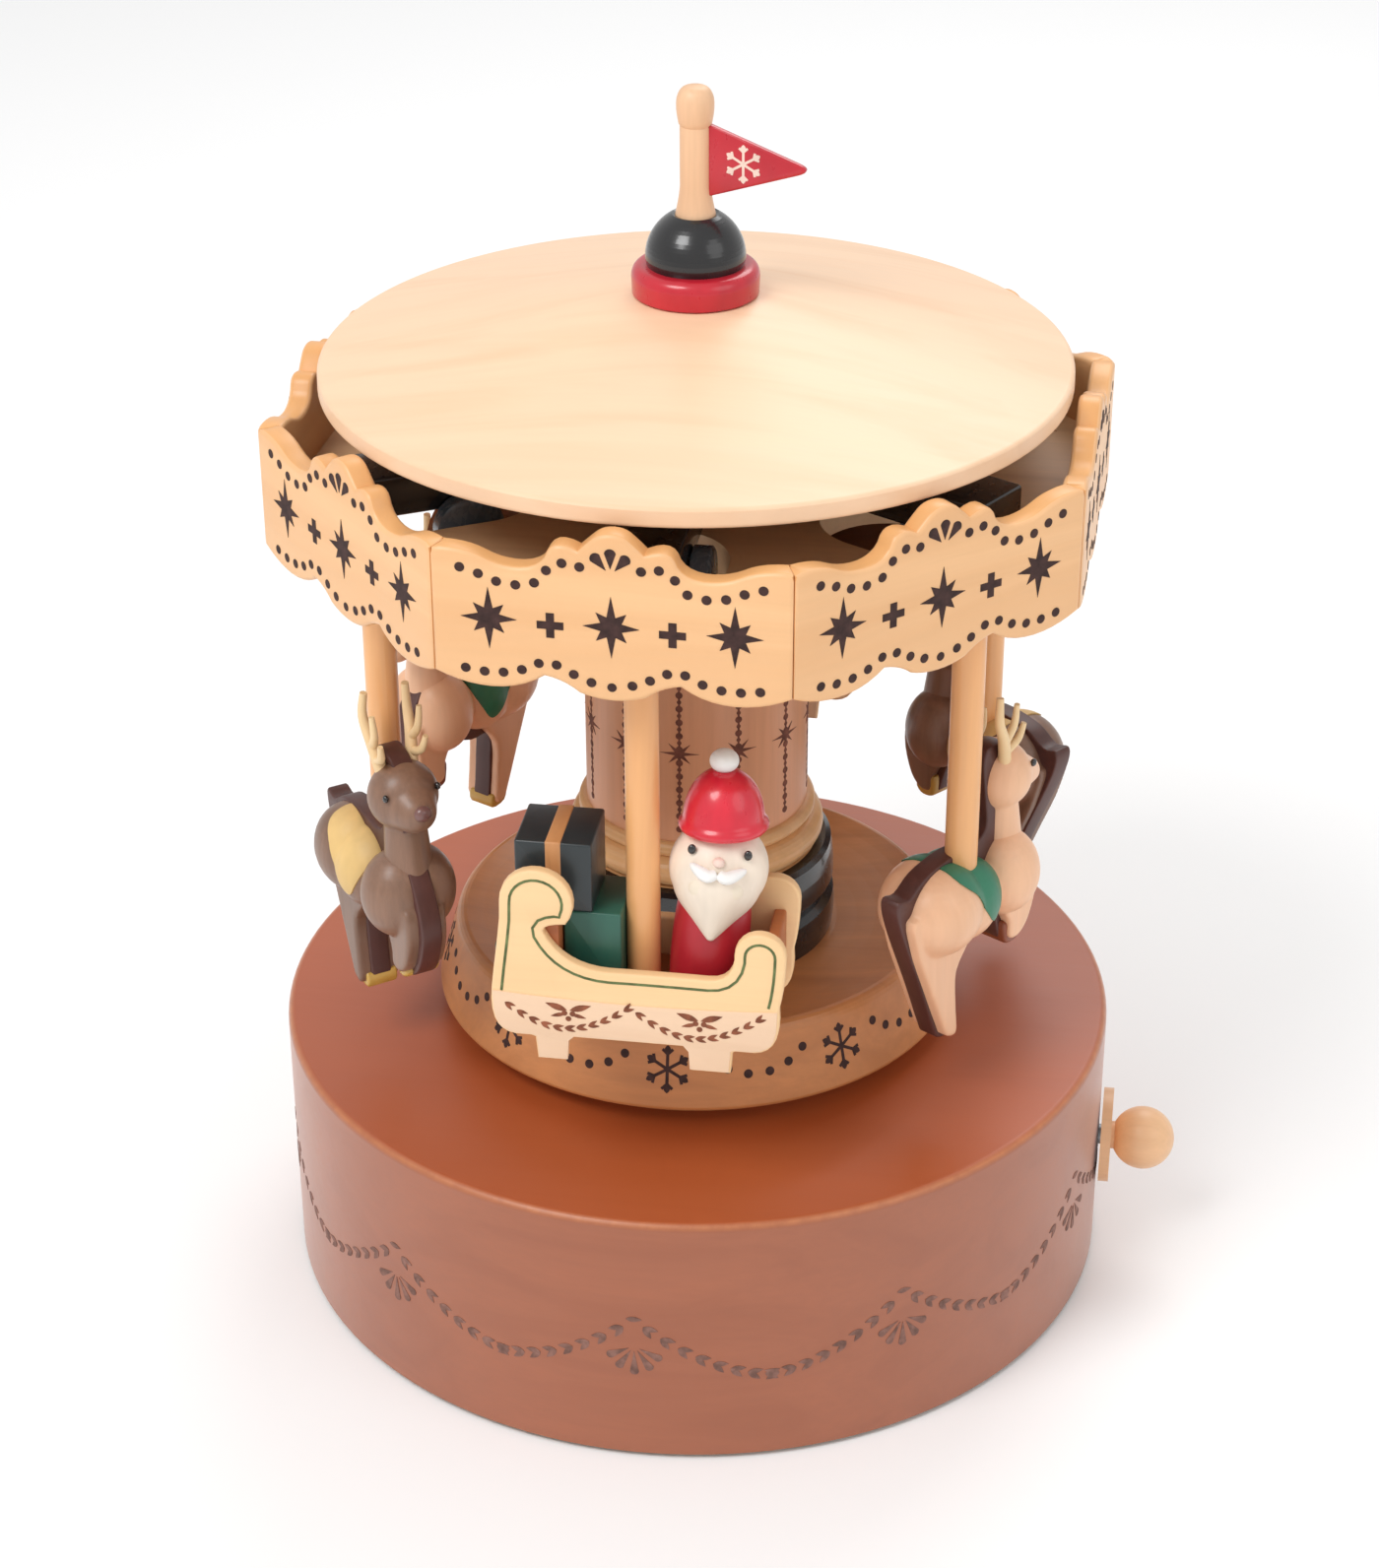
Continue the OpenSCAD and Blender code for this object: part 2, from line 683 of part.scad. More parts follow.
module deer_plate(d, i) {
    color(walnut) carriage(i) difference() {
        deer_at(d) upright(deer_plate_in, deer_plate_t) polygon(deer_plate);
        translate([0, 0, deer_hole_z]) cylinder(d = pole_d, h = 30);
    }
}

// Side view of the thinner outer layers, which stop short of the plate's edge
deer_layer = smooth([
    [-2.8, 83.6], [-8.4, 82.9], [-11.6, 80.4], [-12.4, 76], [-8.4, 65.6], [-5, 58], [-3.6, 55.6],
    [-1.9, 55.8], [-2.6, 61.4], [-3, 66.6], [2, 69.4], [8, 71.6], [10.4, 69.6], [11.4, 65.6],
    [13, 65.4], [15.2, 67.4], [17.2, 72.8], [16.2, 78], [12.8, 83.2], [12.6, 88.4], [17.4, 90],
    [16, 93.4], [10.2, 97.2], [7, 97.4], [6.4, 92], [7.4, 86.4], [5.2, 83.4], [1.4, 82.6]
]);

// Rounded halves glued on both faces of the plate, with the antlers beside the head
module deer_body(d, i, tone) {
    color(tone) carriage(i) difference() {
        deer_at(d) difference() {
            union() {
                upright(deer_plate_in - 0.6, deer_plate_t + 6) polygon(deer_layer);
                deer_domes(deer_plate_in - 1);
            }
            upright(deer_plate_in, deer_plate_t) square([60, 260], center = true);
        }
        translate([0, 0, deer_hole_z]) cylinder(d = pole_d, h = 30);
    }
    color(beech) carriage(i) deer_at(d) for (side = [-1, 1])
        upright(deer_plate_in - 0.6 + side * (deer_plate_t / 2 + 3.8), 1.6) polygon(antler);
}

// Domes of the rump, belly, chest, head and muzzle
module deer_domes(y) {
    for (d = [[-4.9, 77.3, 7.2], [2.2, 76.1, 6.6], [11.2, 77.2, 6.2], [9.8, 93, 5.1]])
        translate([d[0], y, d[1]]) rotate([90, 0, 0]) sphere(r = d[2]);
}

// ---- Assembly ------------------------------------------------------------

drum();
base_cover();
felt_pad();
cover_screws();
plinth();
pedestal_ring();
column_collar();
column();
cam_ring();
shaft_bush();
movement_bedplate();
comb();
movement_screws();
governor_housing();
spring_barrel();
pin_cylinder();
governor_fan();
wind_disc();
wind_ball();
wind_shaft();
drive_shaft();
drive_gear();
canopy_hub();
ceiling_board();
canopy_roof();
fascia_boards();
finial_ring();
finial_dome();
flag_staff();
flag();
for (i = [1 : 6]) arm(i);
for (i = [1, 4]) pole(i, sleigh_floor_z - sleigh_floor_t);
for (i = [2, 3, 5, 6]) pole(i, deer_hole_z);
sleigh_sides(1);  // sleigh_1_sides
sleigh_bed(1);  // sleigh_1_bed
sleigh_sides(4);  // sleigh_2_sides
sleigh_bed(4);  // sleigh_2_bed
gift_black();
gift_green();
rear_gifts();
figure_body();
figure_head();
figure_hat();
deer_plate(1, 2);  // reindeer_1_plate
deer_body(1, 2, beech);  // reindeer_1_body
deer_plate(2, 3);  // reindeer_2_plate
deer_body(2, 3, walnut);  // reindeer_2_body
deer_plate(3, 5);  // reindeer_3_plate
deer_body(3, 5, beech);  // reindeer_3_body
deer_plate(4, 6);  // reindeer_4_plate
deer_body(4, 6, walnut);  // reindeer_4_body
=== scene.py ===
"""Looks of the wooden carousel music box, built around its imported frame.

Lengths in this script are in millimetres until a mesh is made. Azimuths turn
counter-clockwise seen from above, and 0 is the side of the front sleigh (-Y).
"""
import math

import bmesh
import bpy
from mathutils import Matrix, Vector


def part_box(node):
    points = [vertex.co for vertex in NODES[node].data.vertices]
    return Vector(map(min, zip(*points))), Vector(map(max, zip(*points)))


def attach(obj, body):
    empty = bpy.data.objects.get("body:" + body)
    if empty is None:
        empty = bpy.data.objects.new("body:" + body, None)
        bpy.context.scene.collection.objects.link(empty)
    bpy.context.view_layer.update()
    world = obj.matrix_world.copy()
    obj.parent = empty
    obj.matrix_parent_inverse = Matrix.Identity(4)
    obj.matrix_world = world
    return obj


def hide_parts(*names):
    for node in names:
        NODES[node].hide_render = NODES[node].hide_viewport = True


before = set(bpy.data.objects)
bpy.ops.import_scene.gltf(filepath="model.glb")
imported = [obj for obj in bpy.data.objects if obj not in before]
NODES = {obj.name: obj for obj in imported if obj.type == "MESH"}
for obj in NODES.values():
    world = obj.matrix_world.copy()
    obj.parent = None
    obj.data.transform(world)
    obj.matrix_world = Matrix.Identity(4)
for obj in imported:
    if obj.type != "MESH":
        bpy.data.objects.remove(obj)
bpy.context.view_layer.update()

MM = 0.001


# ---- Camera, light and floor ---------------------------------------------

VIEW_AZIMUTH = 8.8
CAMERA_DISTANCE = 442.93
CAMERA_HEIGHT = 322.84
CAMERA_PITCH = 28.865
CAMERA_YAW = 0.149
CAMERA_ROLL = -0.217
LENS = 85.53


def add_camera():
    data = bpy.data.cameras.new("camera")
    data.sensor_fit = "HORIZONTAL"
    data.sensor_width = 36
    data.lens = LENS
    camera = bpy.data.objects.new("camera", data)
    bpy.context.scene.collection.objects.link(camera)
    turn = Matrix.Rotation(math.radians(VIEW_AZIMUTH), 4, "Z")
    place = Matrix.Translation(Vector((0, -CAMERA_DISTANCE, CAMERA_HEIGHT)) * MM)
    yaw = Matrix.Rotation(math.radians(CAMERA_YAW), 4, "Z")
    tilt = Matrix.Rotation(math.radians(90 - CAMERA_PITCH), 4, "X")
    roll = Matrix.Rotation(math.radians(CAMERA_ROLL), 4, "Z")
    camera.matrix_world = turn @ place @ yaw @ tilt @ roll
    bpy.context.scene.camera = camera


def add_area_light(name, azimuth, elevation, distance, size, power, target=90):
    data = bpy.data.lights.new(name, "AREA")
    data.shape = "DISK"
    data.size = size * MM
    data.energy = power
    light = bpy.data.objects.new(name, data)
    bpy.context.scene.collection.objects.link(light)
    a, e = math.radians(azimuth), math.radians(elevation)
    away = Vector((math.sin(a) * math.cos(e), -math.cos(a) * math.cos(e), math.sin(e)))
    light.location = (away * distance + Vector((0, 0, target))) * MM
    light.rotation_euler = away.to_track_quat("Z", "Y").to_euler()


def add_studio():
    world = bpy.data.worlds.new("studio")
    bpy.context.scene.world = world
    world.use_nodes = True
    background = world.node_tree.nodes["Background"]
    background.inputs["Color"].default_value = (1, 1, 1, 1)
    background.inputs["Strength"].default_value = 0.7
    add_area_light("key_light", -35, 50, 900, 420, 3.5)
    add_area_light("fill_light", 60, 30, 900, 600, 0.9)
    add_area_light("back_light", 170, 45, 900, 500, 1.8)
    bpy.context.scene.view_settings.view_transform = "Standard"


def add_floor():
    bpy.ops.mesh.primitive_plane_add(size=6)
    floor = bpy.context.object
    floor.name = "floor"
    floor.data.materials.append(plain_material("floor", (1.0, 1.0, 1.0), 0.6))


# ---- Materials -----------------------------------------------------------


def linear(hex_colour):
    """Linear RGB of an sRGB colour written as six hex digits."""
    parts = [int(hex_colour[i : i + 2], 16) / 255 for i in (0, 2, 4)]
    return tuple(c / 12.92 if c <= 0.04045 else ((c + 0.055) / 1.055) ** 2.4 for c in parts)


def plain_material(name, colour, roughness):
    material = bpy.data.materials.new(name)
    material.use_nodes = True
    shader = material.node_tree.nodes["Principled BSDF"]
    shader.inputs["Base Color"].default_value = (*colour, 1)
    shader.inputs["Roughness"].default_value = roughness
    return material


class Nodes:
    """Short calls that add shader nodes to one material."""

    def __init__(self, name):
        self.material = bpy.data.materials.new(name)
        self.material.use_nodes = True
        self.tree = self.material.node_tree
        self.shader = self.tree.nodes["Principled BSDF"]

    def add(self, kind, **settings):
        node = self.tree.nodes.new(kind)
        for key, value in settings.items():
            setattr(node, key, value)
        return node

    def link(self, output, target):
        self.tree.links.new(output, target)

    def noise(self, coords, scale, detail=3.0, roughness=0.55, distortion=0.0):
        """Noise stretched by a scale for each axis, in features per metre."""
        mapping = self.add("ShaderNodeMapping")
        mapping.inputs["Scale"].default_value = scale
        self.link(coords, mapping.inputs["Vector"])
        noise = self.add("ShaderNodeTexNoise")
        noise.inputs["Scale"].default_value = 1.0
        noise.inputs["Detail"].default_value = detail
        noise.inputs["Roughness"].default_value = roughness
        noise.inputs["Distortion"].default_value = distortion
        self.link(mapping.outputs["Vector"], noise.inputs["Vector"])
        return noise.outputs["Fac"]

    def ramp(self, value, stops):
        ramp = self.add("ShaderNodeValToRGB")
        elements = ramp.color_ramp.elements
        while len(elements) < len(stops):
            elements.new(0.5)
        for element, (place, colour) in zip(elements, stops):
            element.position = place
            element.color = (*colour, 1)
        self.link(value, ramp.inputs["Fac"])
        return ramp.outputs["Color"]

    def mix(self, factor, a, b, blend="MIX"):
        mix = self.add("ShaderNodeMix", data_type="RGBA", blend_type=blend)
        for value, socket in ((factor, "Factor"), (a, "A"), (b, "B")):
            target = [s for s in mix.inputs if s.name == socket and s.enabled][0]
            if isinstance(value, bpy.types.NodeSocket):
                self.link(value, target)
            else:
                target.default_value = value if socket == "Factor" else (*value, 1)
        return [s for s in mix.outputs if s.enabled][0]

    def math(self, operation, a, b=0.0, clamp=False):
        node = self.add("ShaderNodeMath", operation=operation, use_clamp=clamp)
        for value, target in ((a, node.inputs[0]), (b, node.inputs[1])):
            if isinstance(value, bpy.types.NodeSocket):
                self.link(value, target)
            else:
                target.default_value = value
        return node.outputs[0]

    def bump(self, height, strength, distance_mm):
        bump = self.add("ShaderNodeBump")
        bump.inputs["Strength"].default_value = strength
        bump.inputs["Distance"].default_value = distance_mm * MM
        self.link(height, bump.inputs["Height"])
        self.link(bump.outputs["Normal"], self.shader.inputs["Normal"])


def wood(name, colour, grain="Z", contrast=0.16, roughness=0.42, coat=0.0, warm=0.05, stain=0.0):
    """Smooth sanded wood: soft growth bands, fine pores along the grain, satin sheen."""
    n = Nodes(name)
    coords = n.add("ShaderNodeTexCoord").outputs["Object"]
    along = "XYZ".index(grain)

    def stretched(across, length):
        return tuple(length if i == along else across for i in range(3))

    bands = n.noise(coords, stretched(110, 9), detail=4, distortion=0.8)
    fibres = n.noise(coords, stretched(900, 45), detail=4, roughness=0.65)
    blotches = n.noise(coords, (28, 28, 28), detail=2)
    dark = tuple(c * (1 - contrast) * (1 - warm * i) for i, c in enumerate(colour))
    light = tuple(min(1.0, c * (1 + contrast * 0.55)) for c in colour)
    tone = n.ramp(bands, [(0.3, dark), (0.52, colour), (0.75, light)])
    pore = tuple(c * (1 - contrast * 1.3) for c in colour)
    streaks = n.ramp(fibres, [(0.36, (1, 1, 1)), (0.62, (0, 0, 0))])
    tone = n.mix(n.math("MULTIPLY", streaks, 0.32), tone, pore)
    if stain:
        tone = n.mix(n.math("MULTIPLY", blotches, stain), tone, dark)
    n.link(tone, n.shader.inputs["Base Color"])
    rough = n.add("ShaderNodeMapRange")
    rough.inputs["To Min"].default_value = roughness - 0.07
    rough.inputs["To Max"].default_value = roughness + 0.1
    n.link(fibres, rough.inputs["Value"])
    n.link(rough.outputs["Result"], n.shader.inputs["Roughness"])
    n.shader.inputs["Coat Weight"].default_value = coat
    n.shader.inputs["Coat Roughness"].default_value = 0.22
    n.bump(fibres, 0.18, 0.06)
    return n.material


def lacquer(name, colour, roughness=0.25, coat=0.6):
    """Brushed-on paint over wood: faint brush lines and small changes of depth."""
    n = Nodes(name)
    coords = n.add("ShaderNodeTexCoord").outputs["Object"]
    depth = n.noise(coords, (160, 160, 60), detail=3)
    brush = n.noise(coords, (900, 900, 500), detail=2)
    deep = tuple(c * 0.82 for c in colour)
    bright = tuple(min(1.0, c * 1.1 + 0.002) for c in colour)
    n.link(n.ramp(depth, [(0.32, deep), (0.7, bright)]), n.shader.inputs["Base Color"])
    rough = n.add("ShaderNodeMapRange")
    rough.inputs["To Min"].default_value = roughness - 0.05
    rough.inputs["To Max"].default_value = roughness + 0.08
    n.link(brush, rough.inputs["Value"])
    n.link(rough.outputs["Result"], n.shader.inputs["Roughness"])
    n.shader.inputs["Coat Weight"].default_value = coat
    n.shader.inputs["Coat Roughness"].default_value = 0.12
    n.bump(brush, 0.04, 0.02)
    return n.material


def metal(name, colour, roughness=0.3):
    """Turned metal with fine lathe marks."""
    n = Nodes(name)
    coords = n.add("ShaderNodeTexCoord").outputs["Object"]
    marks = n.noise(coords, (300, 300, 2600), detail=2)
    lightening = n.noise(coords, (90, 90, 90), detail=4)
    dull = tuple(c * 0.78 for c in colour)
    n.link(n.ramp(lightening, [(0.35, dull), (0.65, colour)]), n.shader.inputs["Base Color"])
    n.shader.inputs["Metallic"].default_value = 1.0
    rough = n.add("ShaderNodeMapRange")
    rough.inputs["To Min"].default_value = roughness - 0.08
    rough.inputs["To Max"].default_value = roughness + 0.14
    n.link(marks, rough.inputs["Value"])
    n.link(rough.outputs["Result"], n.shader.inputs["Roughness"])
    n.bump(marks, 0.1, 0.02)
    return n.material


def burnt(name, colour):
    """Burnt-in mark: uneven brown char, quite matt."""
    n = Nodes(name)
    coords = n.add("ShaderNodeTexCoord").outputs["Object"]
    char = n.noise(coords, (700, 700, 700), detail=4)
    pale = tuple(min(1.0, c * 2.1 + 0.01) for c in colour)
    n.link(n.ramp(char, [(0.35, colour), (0.72, pale)]), n.shader.inputs["Base Color"])
    n.shader.inputs["Roughness"].default_value = 0.75
    n.bump(char, 0.4, 0.06)
    return n.material


def felt(name, colour):
    n = Nodes(name)
    coords = n.add("ShaderNodeTexCoord").outputs["Object"]
    fibre = n.noise(coords, (1500, 1500, 1500), detail=5, roughness=0.7)
    pale = tuple(c * 1.7 + 0.01 for c in colour)
    n.link(n.ramp(fibre, [(0.3, colour), (0.75, pale)]), n.shader.inputs["Base Color"])
    n.shader.inputs["Roughness"].default_value = 0.95
    n.shader.inputs["Sheen Weight"].default_value = 0.4
    n.bump(fibre, 0.6, 0.2)
    return n.material


def stained_drum(name):
    """Red-brown stain, with a painted highlight: a lighter, uneven line along the rounded top edge."""
    material = wood(name, linear("A45C3A"), "X", contrast=0.12, roughness=0.42, coat=0.5, stain=0.3)
    tree = material.node_tree
    shader = tree.nodes["Principled BSDF"]
    n = Nodes.__new__(Nodes)
    n.material, n.tree, n.shader = material, tree, shader
    coords = n.add("ShaderNodeTexCoord").outputs["Object"]
    shader.inputs["Coat Roughness"].default_value = 0.4
    shader.inputs["Sheen Roughness"].default_value = 0.35
    shader.inputs["Sheen Tint"].default_value = (1.0, 0.86, 0.82, 1)
    split = n.add("ShaderNodeSeparateXYZ")
    n.link(coords, split.inputs[0])
    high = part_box("drum")[1]
    flat = n.add("ShaderNodeVectorMath", operation="MULTIPLY")
    flat.inputs[1].default_value = (1, 1, 0)
    n.link(coords, flat.inputs[0])
    length = n.add("ShaderNodeVectorMath", operation="LENGTH")
    n.link(flat.outputs[0], length.inputs[0])
    near_top = n.math("MULTIPLY_ADD", split.outputs["Z"], 1 / MM)
    near_top.node.inputs[2].default_value = -(high.z / MM - 1.0)
    near_rim = n.math("MULTIPLY_ADD", length.outputs["Value"], 1 / MM)
    near_rim.node.inputs[2].default_value = -(high.x / MM - 1.0)
    # Painted highlight: within a millimetre of the top edge the colour turns a lighter orange, unevenly,
    # where the rounded rim catches the light
    wobble = n.math("MULTIPLY", n.noise(coords, (500, 500, 500)), 1.3)
    both = n.math("MINIMUM", n.math("MAXIMUM", near_top, 0.0), n.math("MAXIMUM", near_rim, 0.0))
    lightening = n.math("MULTIPLY", n.math("MULTIPLY", both, wobble), 0.9, clamp=True)
    # Painted light: the flat top is painted a more saturated orange than the side, whose paler look comes
    # from reflected white light; the sheen is kept off the top
    inner = n.math("SUBTRACT", 1.0, near_rim, clamp=True)
    top = n.math("MULTIPLY", n.math("MAXIMUM", near_top, 0.0), inner, clamp=True)
    n.link(n.math("MULTIPLY", n.math("SUBTRACT", 1.0, top), 0.5), shader.inputs["Sheen Weight"])
    old = shader.inputs["Base Color"].links[0].from_socket
    painted_top_tone = n.mix(n.math("MULTIPLY", top, 0.6), old, linear("B9521A"))
    # Lighter orange painted along the rim as a highlight
    n.link(n.mix(lightening, painted_top_tone, linear("D98A52")), shader.inputs["Base Color"])
    return material


M = {}


def make_materials():
    M["drum"] = stained_drum("cherry_stain")
    M["plinth"] = wood("plinth_beech", linear("CB8751"), "X", contrast=0.18, roughness=0.38)
    M["column"] = wood("column_beech", linear("E3A67E"), "Z", contrast=0.14, roughness=0.38)
    M["collar"] = wood("collar_beech", linear("E5B57F"), "X", contrast=0.14, roughness=0.36)
    M["roof"] = wood("roof_maple", linear("F6D0AC"), "X", contrast=0.05, roughness=0.36)
    M["fascia"] = wood("fascia_maple", linear("F3C08C"), "X", contrast=0.07, roughness=0.36)
    M["fascia_edge"] = wood("fascia_edge", linear("F0B577"), "X", contrast=0.1, roughness=0.34)
    M["board"] = wood("board_beech", linear("E6BE92"), "X", contrast=0.14, roughness=0.45)
    M["brown"] = wood("hub_walnut", linear("8A4F2C"), "Z", contrast=0.25, roughness=0.4)
    M["pole"] = wood("pole_birch", linear("F4B67A"), "Z", contrast=0.1, roughness=0.34, coat=0.25)
    M["knob"] = wood("knob_birch", linear("EFBF92"), "X", contrast=0.12, roughness=0.36)
    M["cream"] = wood("sleigh_cream", linear("F8D09C"), "X", contrast=0.05, roughness=0.42)
    M["skirt"] = wood("skirt_maple", linear("EFCBAA"), "X", contrast=0.05, roughness=0.42)
    M["bed"] = wood("bed_wood", linear("B4683C"), "X", contrast=0.2, roughness=0.45)
    M["walnut"] = wood("deer_walnut", linear("5A3630"), "Z", contrast=0.3, roughness=0.42)
    M["light_deer"] = wood("deer_birch", linear("F2C09A"), "Z", contrast=0.1, roughness=0.38)
    M["dark_deer"] = wood("deer_grey", linear("8C6A56"), "Z", contrast=0.34, roughness=0.38, coat=0.1)
    M["antler"] = wood("antler_birch", linear("F3D3A2"), "Z", contrast=0.1, roughness=0.4)
    M["black"] = lacquer("black_lacquer", (0.010, 0.010, 0.011), 0.24, 0.5)
    M["red"] = lacquer("red_lacquer", linear("DB2238"), 0.28, 0.45)
    M["crimson"] = lacquer("crimson_lacquer", linear("C4182C"), 0.28, 0.4)
    M["staff"] = wood("staff_birch", linear("EFC29A"), "Z", contrast=0.16, roughness=0.42)
    M["red_body"] = lacquer("robe_red", linear("B01E2C"), 0.4, 0.1)
    M["white"] = lacquer("pompom_white", linear("FFFDF8"), 0.5, 0.0)
    M["beard"] = lacquer("beard_cream", linear("F1E2D0"), 0.45, 0.05)
    M["skin"] = lacquer("face_tint", linear("F6D9CB"), 0.5, 0.0)
    M["mouth"] = lacquer("mouth_tint", linear("F1E3CE"), 0.5, 0.0)
    M["ink"] = lacquer("ink_black", (0.012, 0.010, 0.010), 0.2, 0.8)
    M["green"] = lacquer("saddle_green", linear("2F7A5C"), 0.42, 0.1)
    M["gold_cloth"] = lacquer("saddle_gold", linear("E3BE7C"), 0.5, 0.0)
    M["gold"] = lacquer("hoof_gold", linear("CFA650"), 0.38, 0.2)
    M["hoof"] = lacquer("hoof_brown", linear("8E4A2E"), 0.4, 0.1)
    M["gift_black"] = lacquer("gift_black", linear("262E31"), 0.35, 0.15)
    M["gift_green"] = lacquer("gift_green", linear("2C5F50"), 0.4, 0.1)
    M["gift_red"] = lacquer("gift_red", linear("9E2A33"), 0.4, 0.1)
    M["ribbon"] = wood("ribbon_tan", linear("CF935F"), "Z", contrast=0.1, roughness=0.45)
    M["brass"] = metal("brass", linear("D8B061"), 0.28)
    M["steel"] = metal("steel", linear("C4C6CA"), 0.3)
    M["burn"] = burnt("burnt_brown", linear("2C130E"))
    M["burn_skirt"] = burnt("burnt_skirt", linear("6E3A22"))
    M["burn_soft"] = burnt("burnt_soft", linear("5E3426"))
    M["burn_drum"] = burnt("burnt_drum", linear("6A4A40"))
    M["nose"] = lacquer("nose_brown", linear("7A5550"), 0.3, 0.3)
    M["roller"] = lacquer("roller_grey", linear("56636E"), 0.25, 0.3)
    M["sleigh_back"] = lacquer("sleigh_back", linear("33513A"), 0.4, 0.1)
    M["line_green"] = burnt("line_green", linear("4E5A33"))
    M["felt"] = felt("felt_green", linear("2A5A3C"))
    M["pale_paint"] = lacquer("pale_paint", linear("F3D9CC"), 0.5, 0.0)


# ---- Mesh tools ----------------------------------------------------------


def new_piece(name, verts, faces, material, body, spot=None, sharp=40):
    """Mesh object from millimetre points, riding on a body. spot places its own frame."""
    mesh = bpy.data.meshes.new(name)
    mesh.from_pydata([Vector(v) * MM for v in verts], [], faces)
    piece = bpy.data.objects.new(name, mesh)
    bpy.context.scene.collection.objects.link(piece)
    return dress(piece, material, body, spot, sharp)


def dress(piece, material, body, spot=None, sharp=40):
    tidy(piece.data)
    if material is not None:
        piece.data.materials.clear()
        piece.data.materials.append(material)
    if spot is not None:
        piece.matrix_world = spot
    shade(piece.data, sharp)
    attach(piece, body)
    return piece


def tidy(mesh):
    bm = bmesh.new()
    bm.from_mesh(mesh)
    bmesh.ops.remove_doubles(bm, verts=bm.verts, dist=1e-7)
    bmesh.ops.recalc_face_normals(bm, faces=bm.faces)
    bm.to_mesh(mesh)
    bm.free()


def shade(mesh, sharp):
    for polygon in mesh.polygons:
        polygon.use_smooth = True
    mesh.set_sharp_from_angle(angle=math.radians(sharp))


def arc(x, y, r, a, b, n=8):
    step = math.radians(b - a) / n
    start = math.radians(a)
    return [(x + r * math.cos(start + step * i), y + r * math.sin(start + step * i)) for i in range(n + 1)]


def bend(a, b, c, n=5):
    """Quadratic curve from a to c that leans towards b, without its first point."""
    points = []
    for i in range(1, n + 1):
        t = i / n
        k = ((1 - t) ** 2, 2 * t * (1 - t), t * t)
        points.append((k[0] * a[0] + k[1] * b[0] + k[2] * c[0], k[0] * a[1] + k[1] * b[1] + k[2] * c[1]))
    return points


def smooth(points, n=5, closed=True):
    """Catmull-Rom curve through the points."""
    out = []
    count = len(points)
    last = count if closed else count - 1
    for i in range(last):
        pick = lambda k: points[k % count] if closed else points[min(max(k, 0), count - 1)]
        a, b, c, d = (pick(i + k) for k in (-1, 0, 1, 2))
        for j in range(n):
            t = j / n
            out.append(
                tuple(
                    0.5
                    * (
                        2 * b[k]
                        + (c[k] - a[k]) * t
                        + (2 * a[k] - 5 * b[k] + 4 * c[k] - d[k]) * t**2
                        + (3 * b[k] - a[k] - 3 * c[k] + d[k]) * t**3
                    )
                    for k in range(len(b))
                )
            )
    if not closed:
        out.append(tuple(points[-1]))
    return out


def shrink(outline, inset):
    """Outline moved inwards by inset, corner by corner (counter-clockwise outline)."""
    out = []
    count = len(outline)
    for i in range(count):
        a, b, c = (Vector(outline[(i + k) % count]) for k in (-1, 0, 1))
        d1, d2 = (b - a).normalized(), (c - b).normalized()
        n1, n2 = Vector((-d1.y, d1.x)), Vector((-d2.y, d2.x))
        m = n1 + n2
        if m.length < 0.3:
            m = n1
        m.normalize()
        reach = inset / max(m.dot(n1), 0.6)
        out.append(tuple(b + m * reach))
    return out


def area(outline):
    count = len(outline)
    return 0.5 * sum(
        outline[i][0] * outline[(i + 1) % count][1] - outline[(i + 1) % count][0] * outline[i][1]
        for i in range(count)
    )


def plate(outline, thickness, round_edge=0.4, steps=3, middle=0.0):
    """Points and faces of an upright board: outline in X and Z, rounded along both rims."""
    if area(outline) < 0:
        outline = outline[::-1]
    clean = [p for i, p in enumerate(outline) if math.dist(p, outline[i - 1]) > 0.02]
    half = thickness / 2
    rings = []
    for i in range(steps + 1):
        a = math.pi / 2 * i / steps
        rings.append((round_edge * (1 - math.sin(a)), -half + round_edge * (1 - math.cos(a))))
    rings += [(inset, -y) for inset, y in reversed(rings)]
    verts, faces = [], []
    for inset, y in rings:
        verts += [(x, y + middle, z) for x, z in shrink(clean, inset)]
    count = len(clean)
    for k in range(len(rings) - 1):
        for i in range(count):
            j = (i + 1) % count
            faces.append((k * count + i, k * count + j, (k + 1) * count + j, (k + 1) * count + i))
    faces.append(tuple(range(count))[::-1])
    faces.append(tuple(range((len(rings) - 1) * count, len(rings) * count)))
    return verts, faces


def lathe(profile, segments=64, axis="Z"):
    """Points and faces of a turned shape: profile of (radius, height) from bottom to top."""
    verts, faces, rows = [], [], []
    for r, z in profile:
        if r < 1e-6:
            rows.append([len(verts)])
            verts.append((0, 0, z))
        else:
            rows.append(list(range(len(verts), len(verts) + segments)))
            for i in range(segments):
                a = 2 * math.pi * i / segments
                verts.append((r * math.cos(a), r * math.sin(a), z))
    for low, high in zip(rows, rows[1:]):
        for i in range(segments):
            j = (i + 1) % segments
            if len(low) == 1 and len(high) == 1:
                continue
            if len(low) == 1:
                faces.append((low[0], high[i], high[j]))
            elif len(high) == 1:
                faces.append((low[i], low[j], high[0]))
            else:
                faces.append((low[i], low[j], high[j], high[i]))
    if axis == "X":
        verts = [(z, y, -x) for x, y, z in verts]
    return verts, faces


